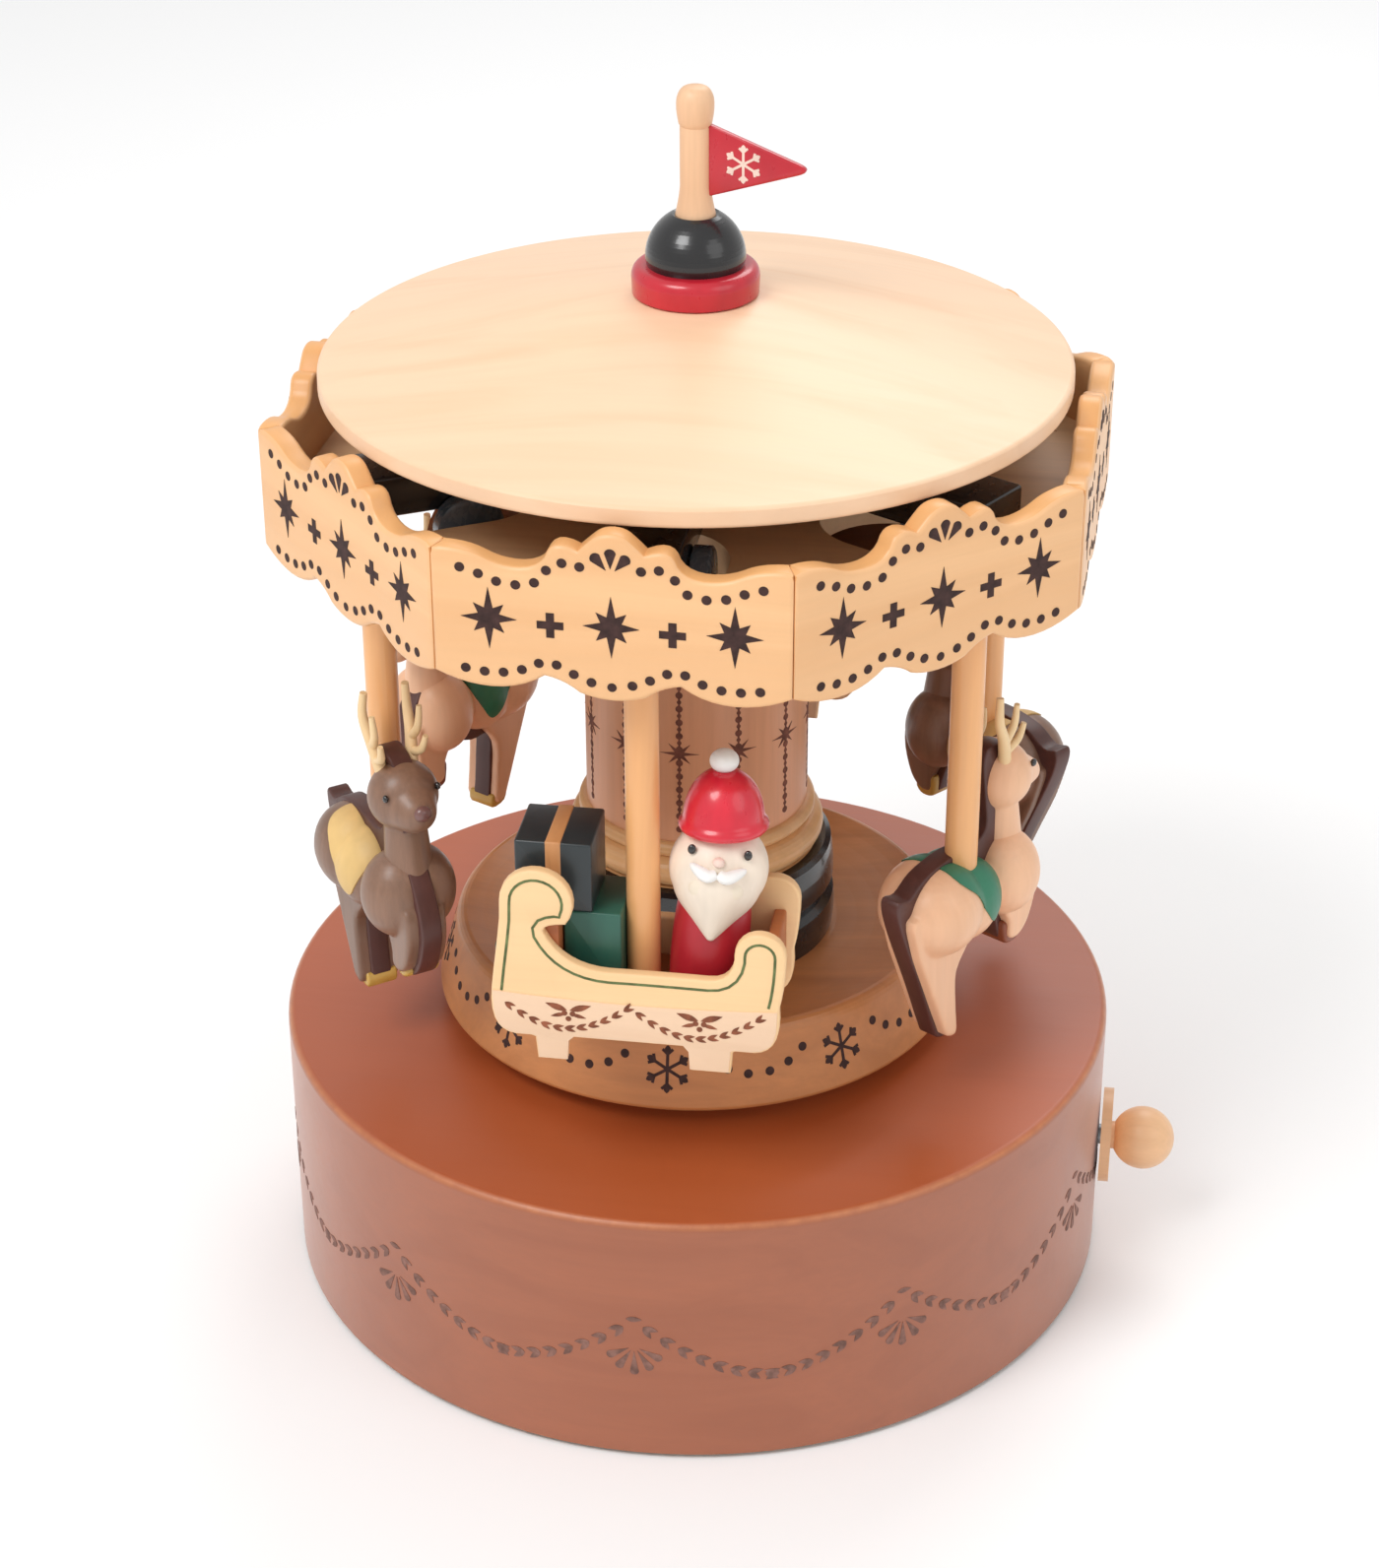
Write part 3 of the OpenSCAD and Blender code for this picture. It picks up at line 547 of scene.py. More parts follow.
def tube(points, radii, sides=10):
    """Points and faces of a round branch through the points, with its own radius at each."""
    verts, faces = [], []
    points = [Vector(p) for p in points]
    count = len(points)
    for i, p in enumerate(points):
        ahead = (points[min(i + 1, count - 1)] - points[max(i - 1, 0)]).normalized()
        side = ahead.cross(Vector((0, 1, 0)))
        side = side.normalized() if side.length > 1e-4 else Vector((1, 0, 0))
        up = side.cross(ahead).normalized()
        for k in range(sides):
            a = 2 * math.pi * k / sides
            verts.append(tuple(p + (side * math.cos(a) + up * math.sin(a)) * radii[i]))
    for i in range(count - 1):
        for k in range(sides):
            m = (k + 1) % sides
            faces.append((i * sides + k, i * sides + m, (i + 1) * sides + m, (i + 1) * sides + k))
    faces.append(tuple(range(sides))[::-1])
    faces.append(tuple(range((count - 1) * sides, count * sides)))
    return verts, faces


def join_parts(parts):
    verts, faces = [], []
    for v, f in parts:
        base = len(verts)
        verts += v
        faces += [tuple(base + i for i in face) for face in f]
    return verts, faces


def moved(part, offset):
    verts, faces = part
    return [tuple(Vector(v) + Vector(offset)) for v in verts], faces


def ball(centre, radii, segments=32, rings=18):
    """Ellipsoid with a radius for each axis."""
    profile = [
        (math.sin(math.pi * i / rings), -math.cos(math.pi * i / rings)) for i in range(rings + 1)
    ]
    profile[0] = (0, -1)
    profile[-1] = (0, 1)
    verts, faces = lathe(profile, segments)
    return [tuple(c + r * v for c, r, v in zip(centre, radii, p)) for p in verts], faces


def box_part(low, high, round_edge=0.35):
    """Box with rounded edges, from its lowest and highest corners."""
    w, d, h = (high[i] - low[i] for i in range(3))
    outline = []
    r = round_edge
    for cx, cz, a in ((w - r, r, -90), (w - r, h - r, 0), (r, h - r, 90), (r, r, 180)):
        outline += arc(cx, cz, r, a, a + 90, 3)
    part = plate(outline, d, r, 3, middle=d / 2)
    return moved(part, low)


# ---- Burnt-in marks ------------------------------------------------------

MARK_PROUD = 0.05
MARK_DEEP = -0.2


class Marks:
    """Flat shapes laid on a surface, joined in one mesh. wrap(u, v, lift) gives a point."""

    def __init__(self, wrap):
        self.wrap = wrap
        self.verts = []
        self.faces = []
        self.lift = 0.0

    def add(self, outline):
        if area(outline) < 0:
            outline = outline[::-1]
        self.lift = (self.lift + 0.003) % 0.015
        count, base = len(outline), len(self.verts)
        for depth in (MARK_DEEP, MARK_PROUD + self.lift):
            self.verts += [self.wrap(u, v, depth) for u, v in outline]
        self.faces.append(tuple(range(base + count, base + 2 * count)))
        self.faces.append(tuple(range(base, base + count))[::-1])
        for i in range(count):
            j = (i + 1) % count
            self.faces.append((base + i, base + j, base + count + j, base + count + i))

    def dot(self, u, v, r, n=14):
        turns = [2 * math.pi * i / n for i in range(n)]
        self.add([(u + r * math.cos(a), v + r * math.sin(a)) for a in turns])

    def leaf(self, u, v, length, width, angle, steps=6):
        """Leaf from its foot at u, v, pointing at an angle in degrees."""
        side = [
            (length * i / steps, width / 2 * math.sin(math.pi * (i / steps) ** 0.85))
            for i in range(1, steps)
        ]
        flat = [(0, 0)] + [(x, -y) for x, y in side] + [(length, 0)] + side[::-1]
        self.turned(flat, u, v, angle)

    def drop(self, u, v, length, width, angle, steps=8):
        """Teardrop whose point is at u, v."""
        r = width / 2
        flat = [(0, 0)] + arc(length - r, 0, r, -80, 80, steps)
        self.turned(flat, u, v, angle)

    def bar(self, u, v, length, width, angle):
        self.turned([(0, -width / 2), (length, -width / 2), (length, width / 2), (0, width / 2)], u, v, angle)

    def turned(self, flat, u, v, angle):
        c, s = math.cos(math.radians(angle)), math.sin(math.radians(angle))
        self.add([(u + x * c - y * s, v + x * s + y * c) for x, y in flat])

    def star(self, u, v, reach, waist):
        """Star whose rays have the given reaches, counter-clockwise from +u."""
        count = len(reach)
        points = []
        for i, r in enumerate(reach):
            a = 2 * math.pi * i / count
            b = a + math.pi / count
            points.append((u + r * math.cos(a), v + r * math.sin(a)))
            points.append((u + waist * math.cos(b), v + waist * math.sin(b)))
        self.add(points)

    def snowflake(self, u, v, r):
        for k in range(6):
            a = 90 + 60 * k
            self.bar(u, v, r * 0.9, r * 0.13, a)
            c, s = math.cos(math.radians(a)), math.sin(math.radians(a))
            tip = (u + r * c, v + r * s)
            self.leaf(*tip, r * 0.42, r * 0.26, a + 180)
            fork = (u + 0.62 * r * c, v + 0.62 * r * s)
            for side in (-1, 1):
                self.bar(*fork, r * 0.3, r * 0.12, a + side * 48)

    def piece(self, name, material, body, spot=None):
        return new_piece(name, self.verts, self.faces, material, body, spot, sharp=25)


def cylinder_wrap(radius):
    def wrap(u, v, lift):
        a = u / radius
        return ((radius + lift) * math.sin(a), -(radius + lift) * math.cos(a), v)

    return wrap


def cone_wrap(r_low, z_low, r_high, z_high, mean_r):
    """u runs round the cone in millimetres at mean_r, v is the height."""
    slope = math.hypot(r_high - r_low, z_high - z_low)
    out_r, out_z = (z_high - z_low) / slope, (r_low - r_high) / slope

    def wrap(u, v, lift):
        t = (v - z_low) / (z_high - z_low)
        r = r_low + (r_high - r_low) * t + lift * out_r
        a = u / mean_r
        return (r * math.sin(a), -r * math.cos(a), v + lift * out_z)

    return wrap


def plane_wrap(distance, flip=1):
    """Upright plane facing -Y at that distance; flip -1 faces +Y instead."""

    def wrap(u, v, lift):
        return (u * flip, -flip * (distance + lift), v)

    return wrap


# ---- Base ----------------------------------------------------------------

DRUM_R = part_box("drum")[1].x / MM
SWAGS = 10
SWAG_TURN = 0.5
GARLAND_TOP = 25.1
GARLAND_LOW = 15.4
SWAG_POWER = 1.7
FAN_Z = 20.6
PLINTH_SIDE = (40.7, 46.3, 38.0, 55.6)
PLINTH_MEAN_R = 39.2
FLAKES = 9
FLAKE_TURN = 2.2
FLAKE_Z = 51.9
COLUMN_LINES = 12
COLUMN_LINE = (80.2, 114.0)
COLUMN_STAR_Z = 93


def garland():
    marks = Marks(cylinder_wrap(DRUM_R))
    swag = 2 * math.pi * DRUM_R / SWAGS
    leaves = 16
    for s in range(SWAGS):
        u0 = math.radians(SWAG_TURN) * DRUM_R + swag * s
        for i in range(leaves):
            t = (i + 0.45) / leaves
            side = 1 if t > 0.5 else -1
            off = 2 * t - 1
            drop = GARLAND_TOP - GARLAND_LOW
            v = GARLAND_LOW + drop * abs(off) ** SWAG_POWER
            rise = 2 * SWAG_POWER * drop / swag * abs(off) ** (SWAG_POWER - 1) * side
            angle = math.degrees(math.atan(rise))
            if side > 0:
                heading = angle
            else:
                heading = angle + 180
            for k in (-1, 1):
                u = u0 + swag * t - side * 0.2
                marks.leaf(u, v, 2.3, 0.95, heading + 180 + k * 22)
        marks.leaf(u0 - 1.2, GARLAND_TOP + 0.4, 2.4, 0.9, 0)
        for k in range(5):
            angle = -90 + (k - 2) * 31
            reach = (4.6, 4.9, 5.2, 4.9, 4.6)[k]
            c, s2 = math.cos(math.radians(angle)), math.sin(math.radians(angle))
            marks.drop(u0 + 0.9 * c, FAN_Z + 0.9 * s2, reach - 0.9, 1.35, angle)
    marks.piece("drum_garland", M["burn_drum"], "base")


def plinth_marks():
    marks = Marks(cone_wrap(*PLINTH_SIDE, PLINTH_MEAN_R))
    step = 2 * math.pi * PLINTH_MEAN_R / FLAKES
    for k in range(FLAKES):
        u0 = math.radians(FLAKE_TURN) * PLINTH_MEAN_R + step * k
        marks.snowflake(u0, FLAKE_Z, 3.6)
        middle = u0 + step / 2
        for angle, z in ((2.4, 50.95), (6.8, 51.9), (10.4, 53.6)):
            for side in (-1, 1):
                marks.dot(middle + side * math.radians(angle) * PLINTH_MEAN_R, z, 0.68)
    marks.piece("plinth_snowflakes", M["burn"], "base")


def column_marks():
    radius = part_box("column")[1].x / MM
    marks = Marks(cylinder_wrap(radius))
    step = 2 * math.pi * radius / COLUMN_LINES
    low, high = COLUMN_LINE
    for k in range(COLUMN_LINES):
        u = step * k
        marks.bar(u, low, high - low, 0.3, 90)
        beads = 30
        for i in range(beads + 1):
            z = low + (high - low) * i / beads
            marks.dot(u, z, 0.34 if i % 2 else 0.55, 10)
        marks.star(u, COLUMN_STAR_Z, [3.0, 2.3, 2.0, 2.3] * 2, 0.75)
    marks.piece("column_lines", M["burn_soft"], "base")


# ---- Canopy --------------------------------------------------------------

FASCIA_TURN = -2.2
FASCIA_APOTHEM = 63.5 * math.cos(math.pi / 8)
FASCIA_T = 3.5
FASCIA_HALF = FASCIA_APOTHEM * math.tan(math.pi / 8)


def fascia_outline():
    top = [(0, 147)] + bend((0, 147), (1.6, 147), (2.6, 146))
    top += bend((2.6, 146), (3.4, 145.3), (4.4, 144.3)) + bend((4.4, 144.3), (7.4, 145.8), (8.5, 143.9))
    top += bend((8.5, 143.9), (9.1, 141.6), (12.2, 141.3)) + bend((12.2, 141.3), (15, 141.2), (17.2, 142.3))
    top += bend((17.2, 142.3), (19.5, 143.5), (23, 143.5))
    low = [(FASCIA_HALF, 125.3)] + bend((24.3, 125.3), (20.4, 123.4), (16.5, 123.4))
    low += bend((16.5, 123.4), (12.4, 123.4), (9.2, 125.7)) + bend((9.2, 125.7), (6.6, 125.3), (4.5, 123.6))
    low += bend((4.5, 123.6), (2.4, 122.8), (0, 122.8))
    right = top + [(FASCIA_HALF - 0.25, 143.2), (FASCIA_HALF, 142.4)] + low
    left = [(-x, z) for x, z in reversed(right[1:-1])]
    return right + left


DOT_INSET = 2.4
DOT_PITCH = 2.6
DOT_FIRST, DOT_LAST = 2.0, 21.6


def dots_along(line, shift):
    """Evenly spaced places along a line that is first moved up by shift."""
    line = [(x, z + shift) for x, z in line if DOT_FIRST <= x <= DOT_LAST]
    places, due = [], 0.0
    for (x0, z0), (x1, z1) in zip(line, line[1:]):
        step = math.hypot(x1 - x0, z1 - z0)
        while due < step:
            places.append((x0 + (x1 - x0) * due / step, z0 + (z1 - z0) * due / step))
            due += DOT_PITCH
        due -= step
    return places


def fascia_dots():
    """Both rows of dots of a board's right half, following its own outline."""
    half = [point for point in fascia_outline() if point[0] >= 0]
    middle = (half[0][1] + min(z for x, z in half)) / 2
    top = sorted(point for point in half if point[1] > middle)
    low = sorted(point for point in half if point[1] < middle)
    crest = [place for place in dots_along(top, -DOT_INSET) if place[0] > 3.4]
    return crest + dots_along(low, DOT_INSET)


def fascia_marks(spot, name):
    marks = Marks(plane_wrap(FASCIA_APOTHEM))
    for side in (-1, 1):
        for u, v in fascia_dots():
            marks.dot(side * u, v, 0.68)
        for turn in (0, 90):
            c, s = math.cos(math.radians(turn)), math.sin(math.radians(turn))
            marks.bar(side * 8.2 - 1.8 * c, 133.4 - 1.8 * s, 3.6, 1.1, turn)
    marks.dot(0, 125, 0.64)
    for u in (-16.5, 0, 16.5):
        marks.star(u, 133.8, [3.8, 2.9, 4.5, 2.9] * 2, 1.55)
    for angle in (50, 90, 130):
        c, s = math.cos(math.radians(angle)), math.sin(math.radians(angle))
        marks.drop(0.9 * c, 141.3 + 0.9 * s, 2.9, 1.6, angle)
    marks.piece(name, M["burn"], "carousel", spot)


def fascia():
    verts, faces = plate(fascia_outline(), FASCIA_T, 0.7, 4, middle=-(FASCIA_APOTHEM - FASCIA_T / 2))
    # The ends are mitred: each point moves towards the middle as it lies further in
    mitre = math.tan(math.pi / 8)
    shaped = []
    for x, y, z in verts:
        limit = -y * mitre - 0.04
        shaped.append((max(-limit, min(limit, x)), y, z))
    for i in range(8):
        spot = Matrix.Rotation(math.radians(FASCIA_TURN + 45 * i), 4, "Z")
        board = new_piece(f"fascia_board_{i + 1}", shaped, faces, M["fascia"], "carousel", spot)
        board.data.materials.append(M["fascia_edge"])
        for polygon in board.data.polygons:
            if abs(polygon.normal.y) < 0.5:
                polygon.material_index = 1
        fascia_marks(spot, f"fascia_marks_{i + 1}")
    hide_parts("fascia_boards")


def finial():
    """Red disc with a rounded top edge, and the staff with its flared foot and barrel cap."""
    disc = [(0, 158.8), (8.7, 158.8), (9.1, 159.1), (9.2, 161.4)]
    disc += bend((9.2, 161.4), (9.15, 163.2), (7.5, 163.2), 8) + [(0, 163.2)]
    piece = new_piece("finial_disc", *lathe(disc, 96), M["crimson"], "carousel")
    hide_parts("finial_ring")
    staff = [(0, 166.7), (2.4, 166.7), (2.4, 169.9), (2.95, 170.1)]
    staff += bend((2.95, 170.2), (2.3, 172.8), (2.2, 174.6), 10)
    staff += [(2.2, 183.1), (2.14, 183.25), (2.35, 183.55)]
    staff += bend((2.35, 183.6), (2.85, 185.8), (2.6, 187.2), 8)
    staff += bend((2.6, 187.2), (2.2, 188.7), (1.2, 188.8), 6) + [(0, 188.8)]
    piece = new_piece("pennant_staff", *lathe(staff, 64), M["staff"], "carousel")
    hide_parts("flag_staff")


def flag():
    outline = [(1.9, 173.2), (14.9, 177.35)]
    outline += bend((14.9, 177.35), (17.2, 178.1), (14.9, 178.95), 8) + [(1.9, 183.7)]
    spot = Matrix.Rotation(math.radians(-7.2), 4, "Z")
    piece = new_piece("pennant", *plate(outline, 1.2, 0.3), M["crimson"], "carousel", spot)
    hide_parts("flag")
    for flip, side in ((1, "front"), (-1, "back")):
        marks = Marks(plane_wrap(0.6, flip))
        marks.snowflake(flip * 7.1, 178.4, 2.8)
        marks.piece("pennant_flake_" + side, M["pale_paint"], "carousel", spot)


# ---- Carriages -----------------------------------------------------------

POLE_CIRCLE = 49.2
ARM_TOP = 142.4


def bob(i):
    """Height of a carriage above the middle of its travel, from its arm."""
    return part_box(f"arm_{i}")[1].z / MM - ARM_TOP


def carriage_spot(i, lift=0.0):
    turn = Matrix.Rotation(math.radians(60 * (i - 1)), 4, "Z")
    return turn @ Matrix.Translation(Vector((0, -POLE_CIRCLE, bob(i) + lift)) * MM)


def arm(i):
    body = f"carriage_{i}"
    spot = carriage_spot(i)
    inner, outer = POLE_CIRCLE - 14, POLE_CIRCLE - 53.5
    beam = box_part((-5, outer, 136.2), (5, inner, ARM_TOP), 0.5)
    piece = new_piece(f"arm_beam_{i}", *beam, M["black"], body, spot)
    wheel = lathe([(0, 5), (4.6, 5), (5, 5.3), (5, 7.7), (4.6, 8), (1.2, 8), (1.2, 8.4), (0, 8.4)], 40, "X")
    wheel = moved(wheel, (0, POLE_CIRCLE - 37, 133.6))
    shoe = new_piece(f"cam_follower_{i}", *wheel, M["roller"], body, spot)
    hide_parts(f"arm_{i}")


# ---- Sleigh --------------------------------------------------------------

SLEIGH_HALF = 8.0
SLEIGH_T = 1.8
SLEIGH_FLOOR = 76.6


def sleigh_top():
    """Open line along the board's upper edge, from the back foot of the scroll forwards."""
    line = [(-20.3, 78.6), (-19.9, 82), (-19.3, 86.5), (-18.9, 90)]
    line += arc(-13.6, 93, 5.2, 180, -38, 16)
    line += bend(line[-1], (-13.2, 89.6), (-12.6, 88.2))
    line += bend((-12.6, 88.2), (-10, 82.7), (-3.5, 82.6), 8) + bend((-3.5, 82.6), (3, 82.7), (10.4, 82.6), 6)
    line += bend((10.4, 82.6), (13.6, 82.5), (14.1, 86.2)) + arc(17.7, 87, 3.6, 180, 0, 12)
    line += bend((21.3, 87), (21.2, 82), (20.4, 78.6))
    return line


def sleigh_low():
    """The rest of the board's outline: rounded skirt with two feet."""
    line = bend((20.4, 78.6), (21, 71.5), (17, 71.2), 7)
    line += [(14.3, 71.2), (13.9, 71), (13.6, 67.5), (8, 67.5), (7.8, 70.4), (7, 71.4)]
    line += [(-8.7, 71.4), (-9.5, 70.6), (-9.7, 67.5), (-13.9, 67.5), (-14.2, 71), (-14.8, 71.2), (-17, 71.2)]
    line += bend((-17, 71.2), (-21, 71.5), (-20.3, 78.6), 7)[:-1]
    return line


def ribbon_along(line, offset, width, marks):
    """Strip that follows an open line on its inner side."""
    left, right = [], []
    for i, p in enumerate(line):
        a = Vector(line[max(i - 1, 0)])
        b = Vector(line[min(i + 1, len(line) - 1)])
        d = (b - a).normalized()
        n = Vector((d.y, -d.x))
        left.append(Vector(p) + n * offset)
        right.append(Vector(p) + n * (offset + width))
    for i in range(len(line) - 1):
        quad = [left[i], right[i], right[i + 1], left[i + 1]]
        if (left[i + 1] - left[i]).dot(Vector(line[i + 1]) - Vector(line[i])) <= 0:
            continue
        marks.add([tuple(q) for q in quad])


SWAG_SPAN = 18.6


def skirt_marks(marks):
    """Two leaf swags with a sprig of holly inside each."""
    for side in (-1, 1):
        middle = side * SWAG_SPAN / 2
        for i in range(11):
            t = (i + 0.5) / 11
            u = middle + (t - 0.5) * SWAG_SPAN
            v = 77.4 - 4.3 * math.sin(math.pi * t) ** 0.9
            slope = -4.3 * math.pi / SWAG_SPAN * math.cos(math.pi * t)
            angle = math.degrees(math.atan(slope))
            for k in (-1, 1):
                marks.leaf(u - 0.6, v, 1.65, 0.55, angle + k * 17)
        for k in (-1, 1):
            marks.leaf(middle + 0.2 * k, 76.1, 3.2, 1.0, 90 - k * 72)
            marks.leaf(middle + 0.4 * k, 75.5, 2.2, 0.6, 90 - k * 104)
        for u, v in ((-0.55, 75.6), (0.6, 75.55), (0, 74.7)):
            marks.dot(middle + u, v, 0.42, 10)


def sleigh(i, name):
    body = f"carriage_{i}"
    spot = carriage_spot(i)
    outline = sleigh_top() + sleigh_low()
    for side, word in ((-1, "outer"), (1, "inner")):
        board = plate(outline, SLEIGH_T, 0.4, 3, middle=side * SLEIGH_HALF)
        piece = new_piece(f"{name}_side_{word}", *board, M["cream"], body, spot)
        if side == -1:
            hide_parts(f"{name}_sides")
        flip = -side
        face = SLEIGH_HALF + SLEIGH_T / 2
        skirt = [(-20.15, 78.4)] + bend((-20.15, 78.4), (0, 76.9), (20.2, 78.4), 10)
        skirt += [(x * 0.985, z + 0.3 if z < 72 else z) for x, z in sleigh_low()[1:-1]]
        skirt_part = plate(skirt, 0.5, 0.15, 2, middle=side * (face - 0.05))
        new_piece(f"{name}_skirt_{word}", *skirt_part, M["skirt"], body, spot)
        burn = Marks(plane_wrap(face + 0.2, flip))
        skirt_marks(burn)
        burn.piece(f"{name}_garland_{word}", M["burn_skirt"], body, spot)
        line = Marks(plane_wrap(face, flip))
        edge = [(flip * x, z) for x, z in sleigh_top()]
        if flip < 0:
            edge = edge[::-1]
        ribbon_along(edge, 1.3, 0.38, line)
        line.piece(f"{name}_border_{word}", M["line_green"], body, spot)
    half = SLEIGH_HALF - SLEIGH_T / 2
    bed = join_parts(
        [
            box_part((-19, -half, SLEIGH_FLOOR - 1.8), (19, half, SLEIGH_FLOOR), 0.2),
            box_part((-17.4, -half, SLEIGH_FLOOR - 0.1), (-10.8, half, SLEIGH_FLOOR + 12.9), 0.3),
            box_part((17.6, -half, SLEIGH_FLOOR - 0.1), (19.4, half, SLEIGH_FLOOR + 9), 0.4),
        ]
    )
    floor = new_piece(f"{name}_floor", *bed, M["bed"], body, spot)
    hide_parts(f"{name}_bed")
    back = box_part((-20, -half, SLEIGH_FLOOR + 0.1), (-17.3, half, SLEIGH_FLOOR + 8.4), 0.5)
    panel = new_piece(f"{name}_back", *back, M["sleigh_back"], body, spot)


def gift(name, node, low, size, material, i, ribbons=(0,)):
    """Wooden parcel. Each ribbon runs over the top and down the front and back."""
    body = f"carriage_{i}"
    spot = carriage_spot(i)
    high = tuple(a + b for a, b in zip(low, size))
    box = new_piece(name, *box_part(low, high, 0.35), M[material], body, spot)
    if node:
        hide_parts(node)
    for k in ribbons:
        middle = (low[0] + high[0]) / 2 + k
        proud = 0.12
        band = box_part(
            (middle - 1.15, low[1] - proud, low[2] + 0.02),
            (middle + 1.15, high[1] + proud, high[2] + proud), 0.3
        )
        new_piece(f"{name}_ribbon", *band, M["ribbon"], body, spot)


# ---- Bearded figure ------------------------------------------------------

FIGURE_AT = (8.8, 0.0)
FIGURE_LEAN = (7.0, 5.4, 4.5)


def figure():
    """A plain wooden bearded man: turned body and hat, dot eyes, moustache and beard."""
    body = "carriage_1"
    back, side_lean, turn = (math.radians(a) for a in FIGURE_LEAN)
    foot = Vector((*FIGURE_AT, SLEIGH_FLOOR)) * MM
    lean = Matrix.Rotation(turn, 4, "Z") @ Matrix.Rotation(side_lean, 4, "Y") @ Matrix.Rotation(-back, 4, "X")
    spot = carriage_spot(1) @ Matrix.Translation(foot) @ lean
    spot = spot @ Matrix.Translation(Vector((0, 0, -SLEIGH_FLOOR)) * MM)
    robe = [(0, SLEIGH_FLOOR - 0.8), (4.9, SLEIGH_FLOOR - 0.8), (5.2, SLEIGH_FLOOR + 0.3)]
    robe += bend((5.2, SLEIGH_FLOOR + 0.3), (5.8, 84), (5.1, 90), 8) + [(4, 91.4), (0, 91.6)]
    piece = new_piece("figure_robe", *lathe(robe, 56), M["red_body"], body, spot)
    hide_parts("figure_body")

    head = ball((0, 0, 94.8), (7.0, 6.5, 6.9), 56, 32)
    beard = capsule((0, -0.5, 93.4), (0, -5.6, 86.5), 6.4, 0.7, 14)
    piece = new_piece("figure_face", *join_parts([head, beard]), M["beard"], body, spot)
    remesh(piece, 0.22, 5)
    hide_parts("figure_head")

    for side, word in ((-1, "left"), (1, "right")):
        path = [
            (side * 0.2, -6.45, 96.3), (side * 1.3, -6.75, 96.0),
            (side * 2.6, -6.35, 96.5), (side * 3.9, -5.75, 97.2),
        ]
        path = smooth(path, 4, closed=False)
        count = len(path) - 1
        sizes = [0.15 + 0.8 * math.sin(math.pi * (0.16 + 0.84 * k / count)) ** 0.7 for k in range(count + 1)]
        whisker = new_piece(f"moustache_{word}", *tube(path, sizes, 16), M["white"], body, spot)
        eye = ball((side * 3.9, -4.72, 98.9), (0.6, 0.42, 0.74), 20, 12)
        new_piece(f"eye_{word}", *eye, M["ink"], body, spot)
    new_piece("nose", *ball((0, -6.0, 97.9), (0.85, 0.75, 0.75), 24, 14), M["skin"], body, spot)
    new_piece("mouth", *ball((0, -5.35, 93.6), (3.9, 1.35, 2.6), 32, 18), M["mouth"], body, spot)

    hat = [(0, 100.7), (5.9, 100.7)] + bend((5.9, 100.7), (6.75, 101.4), (6.05, 102.2))
    hat += bend((6.05, 102.2), (5.75, 102.5), (5.7, 103))
    hat += bend((5.7, 103), (5.2, 107.6), (2.0, 109.2), 12) + [(0, 109.6)]
    rim = Vector((0, 0, 101.5)) * MM
    spot = spot @ Matrix.Translation(rim) @ Matrix.Rotation(-side_lean, 4, "Y") @ Matrix.Translation(-rim)
    piece = new_piece("figure_cap", *lathe(hat, 64), M["red"], body, spot)
    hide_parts("figure_hat")
    tuft = ball((0, 0, 110.7), (2.05, 2.05, 1.7), 40, 24)
    pompom = new_piece("figure_pompom", *tuft, M["white"], body, spot)


def remesh(piece, voxel_mm, smoothing):
    """Melts overlapping shapes into one skin and softens their creases."""
    bpy.context.view_layer.objects.active = piece
    melt = piece.modifiers.new("melt", "REMESH")
    melt.mode = "VOXEL"
    melt.voxel_size = voxel_mm * MM
    if smoothing:
        soften = piece.modifiers.new("soften", "SMOOTH")
        soften.factor = 0.5
        soften.iterations = smoothing
    depsgraph = bpy.context.evaluated_depsgraph_get()
    baked = bpy.data.meshes.new_from_object(piece.evaluated_get(depsgraph))
    materials = list(piece.data.materials)
    piece.modifiers.clear()
    piece.data = baked
    piece.data.materials.clear()
    for material in materials:
        piece.data.materials.append(material)
    shade(piece.data, 180)


# ---- Reindeer ------------------------------------------------------------

PLATE_IN = 2.0
PLATE_T = 3.3
DEER_PLATE = [
    (-2.7, 84.6), (-8.5, 83.8), (-12.1, 81.9), (-14.7, 82.3), (-15.0, 80.2), (-13.4, 75.5),
    (-8.9, 65.1), (-5.6, 57), (-4.2, 54.4), (-1.3, 54.2), (-1.6, 58), (-2, 62.4), (-2, 67.4),
    (2.4, 68.1), (7.9, 70.2), (9.2, 68.6), (10.6, 64.6), (13.4, 64.1), (16.4, 66.6), (18.4, 72.5),
    (17.0, 78), (13.4, 83.4), (13, 87.6), (15.2, 89.4), (15.6, 91), (13.2, 95),
    (10.4, 98.2), (6.6, 99.4), (4.6, 97.6), (5.4, 91), (5.8, 86), (3, 84.3),
]
DEER_LEGS = [
    [
        (-12.2, 79), (-12, 73.5), (-8.3, 64.5), (-5.0, 57), (-4.0, 55.2),
        (-1.8, 55), (-2.2, 60), (-2.4, 66), (0.5, 72),
    ],
    [(7.2, 74), (8.9, 71.0), (10.6, 68.2), (10.9, 65.4), (13.2, 65), (15.6, 67.2), (17.2, 72.6), (15.6, 77)],
]
# Outward shift, lift and turn of each reindeer on its pole
DEER_PLACE = {1: (0.6, 0.5, -2), 2: (4, -2, 20), 3: (-0.4, 2.4, 3), 4: (4, 2.2, 8)}


